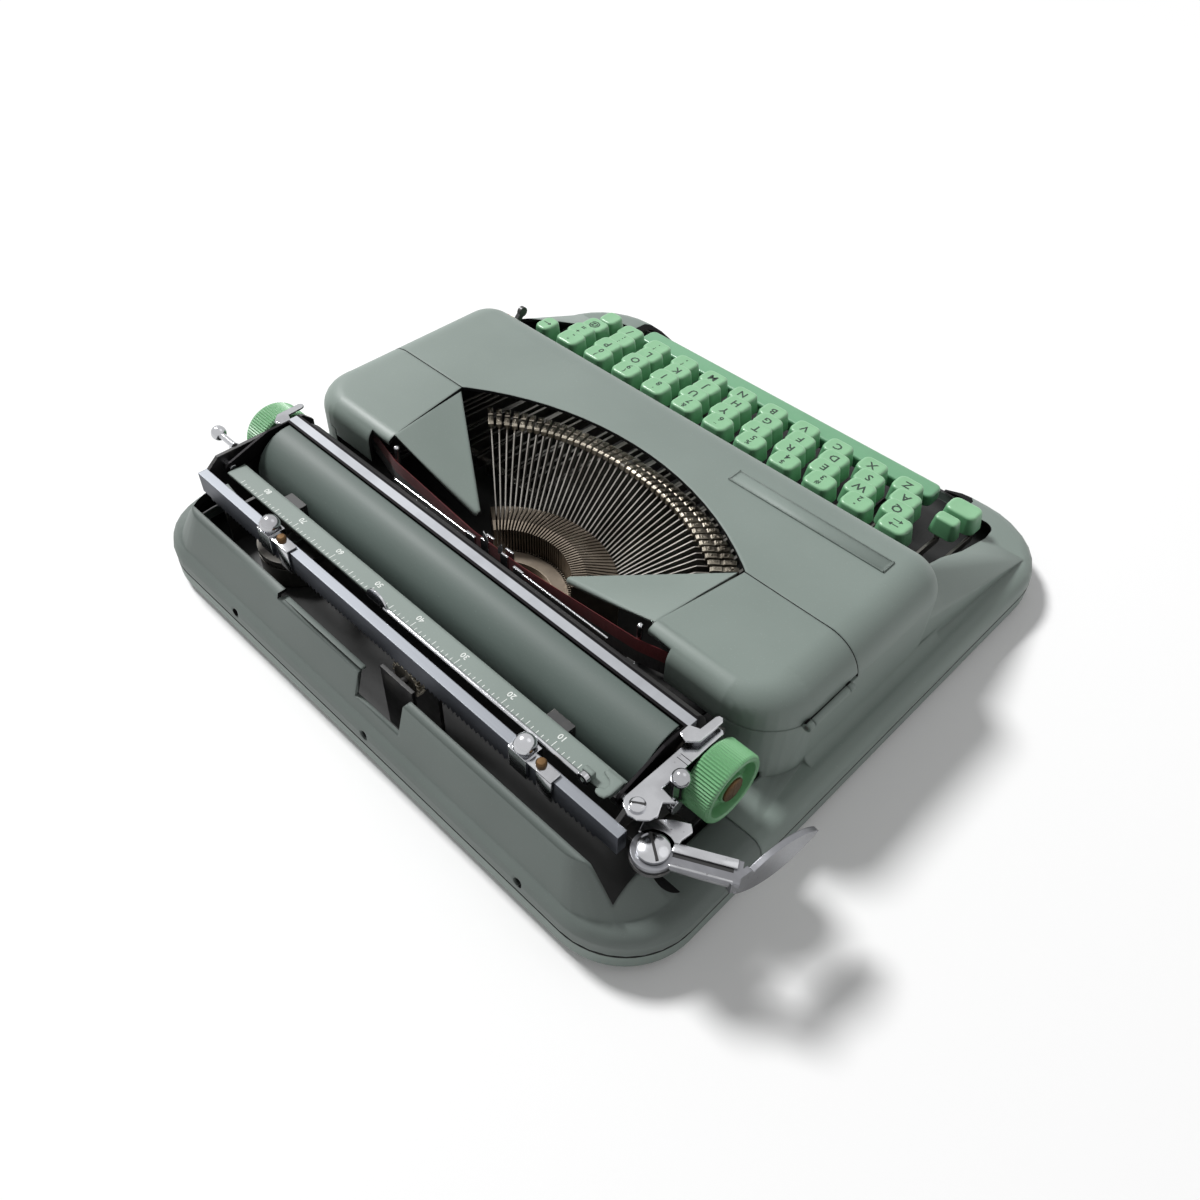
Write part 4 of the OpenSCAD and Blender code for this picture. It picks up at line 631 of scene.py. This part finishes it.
def legend(text, x, y, top):
    """A letter, or a figure below its sign, on a key's top."""
    crown = top - CROWN_DIP
    if len(text) == 1:
        return [moved(lettering(text, LETTER_H, INK), at(x, y + LETTER_UP, crown))]
    figure, sign = text
    sign_height = SMALL_SIGN_H if sign in SMALL_SIGNS else SIGN_H
    return [
        moved(lettering(figure, FIGURE_H, INK), at(x, y - FIGURE_DOWN, crown)),
        moved(lettering(sign, sign_height, INK), at(x, y + SIGN_UP, crown)),
    ]


def arrow(x, y, top, direction):
    """An arrow to the right (1) or to the left (-1) on a key's top."""
    outline = [(px * direction, py * direction) for px, py in ARROW]
    return moved(plate(outline, -INK / 2, INK, 0), at(x, y, top - CROWN_DIP))


for row, row_text in enumerate(ROW_TEXT):
    first_column = 1 if row == 0 else 0
    row_body = "row_%d" % (row + 1)
    places, marks, struck_marks = [], [], []
    for index, text in enumerate(row_text):
        x, y, top = key_place(row, first_column + index)
        if (row, index) == STRUCK_KEY:
            struck_marks = legend(text, x, y, top)
            cap = moved(key_cap(), at(x, y, top))
            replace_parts(piece("struck_key_cap", cap, "key", key_mint), "struck_key")
            continue
        places.append(at(x, y, top))
        marks += legend(text, x, y, top)
    caps = repeated(key_cap(), places)
    if row + 1 == len(ROW_TEXT):
        clear_of_arms(caps)
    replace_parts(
        piece("key_caps_%d" % (row + 1), caps, row_body, key_mint),
        "key_caps_row_%d" % (row + 1),
    )
    piece("key_legends_%d" % (row + 1), joined(*marks), row_body, legend_ink)
    if struck_marks:
        piece("struck_key_legend", joined(*struck_marks), "key", legend_ink)


def lone_key(node, body, x, y, top, width, depth, signs=()):
    """A key outside the typing rows: new cap, and the lever of its CAD node."""
    corner = min(KEY_CORNER, depth / 2 - CORNER_ROOM)
    work = moved(key_cap(width, depth, corner), at(x, y, top))
    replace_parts(piece(node + "_cap", work, body, key_mint), node)
    piece(node + "_lever", levers_below(node, top - KEY_H), body, frame_steel)
    if signs:
        piece(node + "_sign", joined(*signs), body, legend_ink)


to_right = arrow(FIRST_X, FIRST_Y + ARROW_GAP, FIRST_TOP, 1)
to_left = arrow(FIRST_X, FIRST_Y - ARROW_GAP, FIRST_TOP, -1)
lone_key("margin_release_key", "margin_release", *key_place(0, 0), KEY_W, KEY_D, (to_right, to_left))
back = arrow(BACKSPACE_X, FIRST_Y, FIRST_TOP, -1)
lone_key("backspace_key", "backspace", BACKSPACE_X, FIRST_Y, FIRST_TOP, BACKSPACE_W, KEY_D, (back,))
lone_key("shift_left", "left_shift", x=-103.5, y=-112.6, top=SHIFT_TOP, width=17, depth=12)
lone_key("shift_lock", "lock", x=-102, y=-101.6, top=SHIFT_TOP, width=13, depth=8)
lone_key("shift_right", "right_shift", x=107.4, y=-110.3, top=SHIFT_TOP, width=12.4, depth=12)

bar = block(SPACE_LOW, SPACE_HIGH)
bevel(bar, upright_edges(bar, (SPACE_HIGH[2] - SPACE_LOW[2]) / 2), SPACE_CORNER, 5)
bevel(bar, edges_at_top(bar, SPACE_HIGH[2]), SPACE_RIM, 4)
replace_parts(piece("space_bar_cap", bar, "space", space_mint_shaded), "space_bar")
piece("space_bar_arms", levers_below("space_bar", SPACE_LOW[2]), "space", frame_steel)


# Type basket

BARS, FAN, BAR_L = 42, 50.5, 47.0
STRUCK_BAR = BARS // 2
PIVOT_Z, PIVOT_RISE = 20, 9
PRINT_Y, PRINT_Z, REST_Z = 63.8, 46.0, 50.0
END_LEAN = 20
TYPE_W, TYPE_L, TYPE_FOOT, TYPE_STEP = 2.46, 11.06, -2.53, -0.35
FACE_W, FACE_L, FACE_FOOT, FACE_TOP = 2.44, 4.2, -0.7, 0.02
FACE_OUT = 2.7
SIGN_TALL, SIGN_RAISED, SIGN_MIDDLE, SIGN_NARROW = 2.2, 0.5, 0.15, 0.8
SIGNS = "qQaAzZwWsSxXeEdDcCrRfFvVtTgGbByYhHnNuUjJmMiIkK,?oOlL.!pP;:/=-*0)9(8'7&6_5%4$3#2\""
PRONG = [(0, 0), (1.2, 2.4), (1.1, 4.4), (0, 6.6), (-1.1, 4.4), (-1.2, 2.4)]
PRONG_T, PRONG_X, PRONG_Y, PRONG_Z, PRONG_LEAN = 0.5, 3.0, 66.4, 52.0, 20
RIBBON_PATH = [(-100, 51.5), (-68, 59.8), (-14, 64.4), (14, 64.4), (68, 59.8), (100, 51.5)]
RIBBON_LOW, RIBBON_W, RIBBON_T = 39.4, 12.2, 0.2
RIBBON_STRIPS, RIBBON_CUTS = 4, 5


def bar_pivot_z(angle):
    return PIVOT_Z + PIVOT_RISE * (angle / FAN) ** 2


def bar_rise(angle, height):
    """How far a bar is raised, in degrees, when its end is at a height."""
    return math.degrees(math.asin((height - bar_pivot_z(angle)) / BAR_L))


def slug_place(index):
    """Where a type sits on its bar at rest; its face is the XY plane, looking up."""
    angle = (2 * index / (BARS - 1) - 1) * FAN
    reach = math.sqrt(BAR_L**2 - (PRINT_Z - bar_pivot_z(angle)) ** 2)
    rest = bar_rise(angle, REST_Z)
    lie = rest + 90 - bar_rise(0, REST_Z) - bar_rise(0, PRINT_Z) - END_LEAN * (angle / FAN) ** 2
    return (
        at(0, PRINT_Y, 0) @ turn(angle, "Z") @ at(0, -reach, bar_pivot_z(angle))
        @ turn(-rest, "X") @ at(0, -BAR_L, 0) @ turn(lie, "X")
    )


def type_slug(index):
    """A type: a stepped block with two raised characters, mirrored as they print."""
    low, high = SIGNS[2 * index % len(SIGNS)], SIGNS[(2 * index + 1) % len(SIGNS)]
    works = [block((-TYPE_W / 2, -TYPE_L / 2, TYPE_FOOT), (TYPE_W / 2, TYPE_L / 2, TYPE_STEP), 0.2, 1)]
    for sign, y in ((low, FACE_OUT), (high, -FACE_OUT)):
        corners = (-FACE_W / 2, y - FACE_L / 2, FACE_FOOT), (FACE_W / 2, y + FACE_L / 2, FACE_TOP)
        works.append(block(*corners, 0.25, 1))
        raised = lettering(sign, SIGN_TALL, SIGN_RAISED, 1)
        bmesh.ops.scale(raised, vec=(-SIGN_NARROW, 1, 1), verts=raised.verts)
        bmesh.ops.reverse_faces(raised, faces=raised.faces[:])
        works.append(moved(raised, at(0, y, SIGN_MIDDLE)))
    return moved(joined(*works), slug_place(index))


def ribbon_strip():
    """The inked ribbon, stretched from spool to spool round the two guide posts."""
    work = bmesh.new()
    points = [work.verts.new((x, y, RIBBON_LOW)) for x, y in RIBBON_PATH]
    edge = [work.edges.new(pair) for pair in zip(points, points[1:])]
    bmesh.ops.subdivide_edges(work, edges=edge, cuts=RIBBON_CUTS)
    edge = work.edges[:]
    for _ in range(RIBBON_STRIPS):
        grown = bmesh.ops.extrude_edge_only(work, edges=edge)["geom"]
        lifted = new_verts(grown)
        bmesh.ops.translate(work, vec=(0, 0, RIBBON_W / RIBBON_STRIPS), verts=lifted)
        edge = [e for e in grown if isinstance(e, bmesh.types.BMEdge) and all(v in lifted for v in e.verts)]
    bmesh.ops.recalc_face_normals(work, faces=work.faces[:])
    bmesh.ops.solidify(work, geom=work.faces[:], thickness=RIBBON_T)
    return work


prong_places = [
    at(side * PRONG_X, PRONG_Y, PRONG_Z) @ turn(side * PRONG_LEAN, "Y") @ turn(90, "X") for side in (-1, 1)
]
prongs = repeated(plate(PRONG, 0, PRONG_T, 0.15), prong_places)
piece("ribbon_prongs", prongs, "vibrator", chrome)

inked_strip = piece("inked_strip", ribbon_strip(), "chassis", ribbon_cloth)
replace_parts(inked_strip, "ribbon")

slugs = joined(*(type_slug(index) for index in range(BARS) if index != STRUCK_BAR))
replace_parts(piece("type_faces", slugs, "chassis", type_metal), "type_slugs")
piece("struck_type_face", type_slug(STRUCK_BAR), "struck_bar", type_metal)


# Knobs

KNOB_R, RIBS, RIB_DEPTH = 13.4, 72, 0.55
PLATEN_Y, PLATEN_Z = 80, 45
KNOB_PROFILE = [
    (3.1, 0), (12.4, 0), (KNOB_R, 0.9), (KNOB_R, 10.4), (12.7, 11.3), (11.6, 11.5), (10.9, 11.1),
    (10.4, 7.6), (5.6, 7.5), (5.3, 10.3), (3.1, 10.5), (3.1, 0),
]
HUB_PROFILE = [(0, 10.2), (4.6, 10.2), (4.6, 11.0), (4.1, 11.3), (0, 11.3)]
HUB_SLOT = (-4.0, -0.35, 11.25), (4.0, 0.35, 11.34)


def knob(word, side, inner):
    """A ribbed knob with a hollow outer face; its axis lies along X."""
    work = turned(KNOB_PROFILE, 2 * RIBS)
    for vert in work.verts:
        r = math.hypot(vert.co.x, vert.co.y)
        step = round(math.atan2(vert.co.y, vert.co.x) / WHOLE_TURN * 2 * RIBS)
        if r > KNOB_R - 0.05 and step % 2:
            vert.co.x *= (KNOB_R - RIB_DEPTH) / r
            vert.co.y *= (KNOB_R - RIB_DEPTH) / r
    hub = joined(turned(HUB_PROFILE, 24), block(*HUB_SLOT))
    place = at(side * inner, PLATEN_Y, PLATEN_Z) @ turn(90 * side, "Y")
    grip = piece("knob_%s_grip" % word, moved(work, place), "platen", knob_mint, RIB_SHARP)
    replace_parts(grip, "knob_" + word)
    piece("knob_%s_hub" % word, moved(hub, place), "platen", hub_brass)


knob("left", side=-1, inner=118.5)
knob("right", side=1, inner=116.5)


# Marks and trim on the body

FLANGE = (-1.6, 128.6, 36.2), (47.6, 132.6, 37.4)
BADGE_LEFT, BADGE_RIGHT, BADGE_FRONT, BADGE_REAR = -114, -41, -29.2, -21.6
BADGE_FOOT, BADGE_TOP, RIM_FOOT, RIM_TOP, RIM_W = 60.4, 60.9, 60.6, 61.15, 0.6
LIP_Y, LIP_Z, LIP_TURN = -34, 45.5, 45.0
DOT_PROFILE = [(0, 14.9), (0.9, 14.9), (0.85, 15.08), (0, 15.1)]
DOTS = [("red", 113.4, dot_red), ("yellow", 110.6, dot_yellow), ("white", 107.8, dot_white)]

# The flange takes the rear wall's darker enamel, which is painted shade
piece("lowered_flange", block(*FLANGE, 0.4), "chassis", rear_paint_shaded)

badge = [block((BADGE_LEFT, BADGE_FRONT, BADGE_FOOT), (BADGE_RIGHT, BADGE_REAR, BADGE_TOP), 0.2, 2)]
for left, right, front, rear in (
    (BADGE_LEFT, BADGE_RIGHT, BADGE_FRONT, BADGE_FRONT + RIM_W),
    (BADGE_LEFT, BADGE_RIGHT, BADGE_REAR - RIM_W, BADGE_REAR),
    (BADGE_LEFT, BADGE_LEFT + RIM_W, BADGE_FRONT, BADGE_REAR),
    (BADGE_RIGHT - RIM_W, BADGE_RIGHT, BADGE_FRONT, BADGE_REAR),
):
    badge.append(block((left, front, RIM_FOOT), (right, rear, RIM_TOP), 0.15, 1))
piece("name_plate", joined(*badge), "chassis", body_paint)

for word, x, finish in DOTS:
    dot = moved(turned(DOT_PROFILE, 20), at(x, LIP_Y, LIP_Z) @ turn(LIP_TURN, "X"))
    piece("ribbon_dot_" + word, dot, "chassis", finish)


# Carriage

FIRST_MARK, LAST_MARK, TENTH_X, CHARACTER = 5, 85, -80.6, 2.38
LONG_TICK, MIDDLE_TICK, SHORT_TICK = 2.6, 2.0, 1.3
TICK_W, TICK_REAR, TICK_FOOT, TICK_TOP = 0.28, 113.1, 52.45, 52.53
NUMBER_H, NUMBER_T, NUMBER_Y, NUMBER_Z = 2.3, 0.06, 108.4, 52.5
GAUGE = [
    (-111.9, 72.4), (-117.2, 72.4), (-118.0, 73.2), (-118.0, 102.2), (-124.2, 103.0), (-121.4, 105.8),
    (-123.6, 110.4), (-122.6, 113.2), (-120.0, 115.6), (-116.8, 116.4), (-113.4, 115.0), (-111.9, 112.4),
]
GAUGE_Z, GAUGE_T = 56.3, 1.2
GRADE_LEFT, GRADE_RIGHT, GRADE_W, GRADE_FOOT, GRADE_TOP = -118.02, -113.5, 0.25, 57.46, 57.52
GRADES_Y = (88.6, 90.4)
BAIL_TAB = [
    (109.2, 85.0), (112.6, 86.0), (116.0, 82.6), (116.2, 71.9), (115.2, 70.6), (113.8, 70.8),
    (113.2, 72.0), (112.8, 79.0), (109.2, 80.4),
]
BAIL_TAB_Z, BAIL_TAB_T = 59.5, 1.15
HOOK = [
    (-107, 106.5), (-107, 113.2), (-106.2, 115.4), (-104.4, 115.9), (-102.6, 115.6), (-101.9, 114.6),
    (-102.6, 113.2), (-104.0, 112.6), (-104.2, 110.8), (-102.8, 109.4), (-99.5, 108.4), (-99.5, 106.5),
]
HOOK_Z, HOOK_T = 52.55, 0.7
STOPS = [("left", -76), ("right", 66)]
STRAP_LEFT, STRAP_RIGHT, STRAP_FRONT, STRAP_REAR = 15, 5, 118.6, 123.2
STRAP_FOOT, STRAP_TOP = 52.6, 53.3
LEG_FRONT, LEG_TOP = 122.4, 53.2
LEFT_LEG_W, LEFT_LEG_FOOT = 7, 42.0
RIGHT_LEG_W, RIGHT_LEG_FOOT = 4, 44.5
STUD_PROFILE = [(0, 53.2), (1.9, 53.2), (1.9, 54.6), (1.4, 55.2), (0, 55.3)]
STUD_LEFT, STUD_Y = 8, 120.5


def tick_length(character):
    if character % 10 == 0:
        return LONG_TICK
    return MIDDLE_TICK if character % 5 == 0 else SHORT_TICK


def slotted_screw(name, place, radius, height, body, slot_w=0.7):
    """A round screw head that stands on the XY plane of its place, with a black block across it as the
    painted shade of its slot.
    """
    rim, shoulder, reach = height * 0.55, height * 0.92, radius * 0.93
    head = turned([(0, 0), (radius, 0), (radius, rim), (radius * 0.75, shoulder), (0, height)], 32)
    groove = block((-reach, -slot_w / 2, rim), (reach, slot_w / 2, height + 0.03))
    piece(name + "_head", moved(head, place), body, chrome)
    piece(name + "_slot_shade", moved(groove, place), body, slot_shade_and_mark_black)


ticks, numbers = [], []
for character in range(FIRST_MARK, LAST_MARK + 1):
    x = TENTH_X + (character - 10) * CHARACTER
    front = TICK_REAR - tick_length(character)
    ticks.append(block((x - TICK_W / 2, front, TICK_FOOT), (x + TICK_W / 2, TICK_REAR, TICK_TOP)))
    if character % 10 == 0:
        numbers.append(moved(lettering(str(character), NUMBER_H, NUMBER_T), at(x, NUMBER_Y, NUMBER_Z)))
piece("scale_marks", joined(*ticks, *numbers), "carriage", scale_white)

gauge = plate(GAUGE, GAUGE_Z, GAUGE_T)
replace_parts(piece("line_space_gauge", gauge, "carriage", chrome), "line_space_plate")
grades = [
    block((GRADE_LEFT, y, GRADE_FOOT), (GRADE_RIGHT, y + GRADE_W, GRADE_TOP)) for y in GRADES_Y
]
piece("line_space_grades", joined(*grades), "carriage", slot_shade_and_mark_black)
gauge_hole = at(-116.9, 112.2, GAUGE_Z + GAUGE_T) @ turn(35, "Z")
slotted_screw("gauge_screw", gauge_hole, radius=2.7, height=1.7, body="carriage")

for side, word in ((-1, "left"), (1, "right")):
    tab = plate([(side * x, y) for x, y in BAIL_TAB], BAIL_TAB_Z, BAIL_TAB_T)
    piece("bail_tab_" + word, tab, "bail", chrome)

piece("scale_hook", plate(HOOK, HOOK_Z, HOOK_T, 0.15), "carriage", body_paint)

for word, x in STOPS:
    left, right = x - STRAP_LEFT, x + STRAP_RIGHT
    strap = joined(
        block((left, STRAP_FRONT, STRAP_FOOT), (right, STRAP_REAR, STRAP_TOP), 0.25),
        block((left, LEG_FRONT, LEFT_LEG_FOOT), (left + LEFT_LEG_W, STRAP_REAR, LEG_TOP), 0.25),
        block((right - RIGHT_LEG_W, LEG_FRONT, RIGHT_LEG_FOOT), (right, STRAP_REAR, LEG_TOP), 0.25),
    )
    piece("stop_strap_" + word, strap, "stop_" + word, chrome)
    stud = moved(turned(STUD_PROFILE, 24), at(x - STUD_LEFT, STUD_Y, 0))
    piece("stop_stud_" + word, stud, "stop_" + word, hub_brass)


# Return lever

LEVER_X, LEVER_Y, LEVER_TOP, LEVER_TURN = -127.1, 115.5, 48.5, 208.5
LEVER_PLATE = [
    (-119.5, 114.0), (-118.2, 110.0), (-120.0, 107.4), (-124.6, 103.2), (-129.4, 100.4), (-131.6, 102.6),
    (-131.0, 107.0), (-132.0, 111.0),
]
LEVER_PLATE_Z, LEVER_PLATE_T = 47.4, 1.1
# Drawn along the arm from its pivot
ARM_RIDGE = (5.5, 0.6, -0.3), (25.5, 3.9, 0.9)
ARM_SIDE = (5.5, -3.9, -3.4), (25.0, -2.9, 0.1)
ARM_GROOVE = (6.0, -0.6, -0.2), (24.5, 0.6, 0.05)

lever_plate = plate(LEVER_PLATE, LEVER_PLATE_Z, LEVER_PLATE_T)
piece("return_lever_plate", lever_plate, "return", chrome)
arm = at(LEVER_X, LEVER_Y, LEVER_TOP) @ turn(LEVER_TURN, "Z")
fold = joined(block(*ARM_RIDGE, 0.35), block(*ARM_SIDE, 0.3))
piece("return_lever_fold", moved(fold, arm), "return", chrome)
# The groove is a black strip of painted shade
piece("return_lever_groove_shade", moved(block(*ARM_GROOVE), arm), "return", slot_shade_and_mark_black)
pivot = at(LEVER_X, LEVER_Y, LEVER_TOP + 0.3) @ turn(-35, "Z")
slotted_screw("return_screw", pivot, radius=5.2, height=2.1, body="carriage", slot_w=0.9)


# Stage, light and camera, in metres

FLOOR_SIZE = 4.0
# The floor's glow grows from the machine outwards, so that the far floor is white from any side
GLOW_FROM, GLOW_TO, GLOW_NEAR, GLOW_FAR = 0.3, 1.0, 0.08, 1.0
ROOM_LIGHT = 0.26
MACHINE = (0, 0, 0.03)
EYE, TARGET, ROLL = (-0.22195, 0.24603, 0.32425), (-0.032129, 0.040537, 0.03), 2.33302
SENSOR, LENS = 36, 31.18


def stage_finish():
    """A pale floor that the camera sees close to white, with the machine's shadow on it."""
    pale = Finish("pale_floor", Base_Color=(0.95, 0.95, 0.95, 1.0), Roughness=0.9)
    reach = pale.node("ShaderNodeVectorMath", {"operation": "LENGTH"}, {0: pale.place}, 1)
    white = pale.spread(reach, GLOW_FROM, GLOW_TO, GLOW_NEAR, GLOW_FAR)
    glow = pale.node("ShaderNodeEmission", {}, {"Color": WHITE, "Strength": 1.0})
    matt = Amount(pale, pale.shader.outputs[0])
    pale.end_in("Material Output", pale.seen() * white, matt, glow)
    return pale


def studio():
    """A world that lights evenly, and that the camera sees white."""
    world = bpy.data.worlds.new("studio")
    world.use_nodes = True
    sky = Shading(world.node_tree)
    room = sky.node("ShaderNodeBackground", {}, {"Color": WHITE, "Strength": ROOM_LIGHT})
    backdrop = sky.node("ShaderNodeBackground", {}, {"Color": WHITE, "Strength": 1.0})
    sky.end_in("World Output", sky.seen(), room, backdrop)
    return world


def placed(name, data, place, target, roll=0.0):
    """A lamp or camera at a place, aimed at a target and rolled by degrees."""
    holder = bpy.data.objects.new(name, data)
    aim = (Vector(target) - Vector(place)).to_track_quat("-Z", "Y").to_matrix().to_4x4()
    holder.matrix_world = at(*place) @ aim @ turn(roll, "Z")
    bpy.context.scene.collection.objects.link(holder)
    return holder


def lamp(name, place, size, power):
    light = bpy.data.lights.new(name, "AREA")
    light.shape = "DISK"
    light.size = size
    light.energy = power
    placed(name, light, place, MACHINE)


ground = bmesh.new()
bmesh.ops.create_grid(ground, x_segments=1, y_segments=1, size=FLOOR_SIZE)
ground_mesh = bpy.data.meshes.new("floor")
ground.to_mesh(ground_mesh)
ground.free()
ground_mesh.materials.append(stage_finish().material)
floor = bpy.data.objects.new("floor", ground_mesh)
bpy.context.scene.collection.objects.link(floor)

bpy.context.scene.world = studio()
lamp("window_light", (2.5, 0.1, 3.1), size=0.9, power=163.0)
lamp("fill_light", (-0.6, -0.9, 1.6), size=1.2, power=2.0)

camera = bpy.data.cameras.new("camera")
camera.sensor_width = SENSOR
camera.lens = LENS
camera.clip_start = 0.01
bpy.context.scene.camera = placed("camera", camera, EYE, TARGET, ROLL)
bpy.context.scene.view_settings.view_transform = "Standard"

bpy.context.view_layer.update()
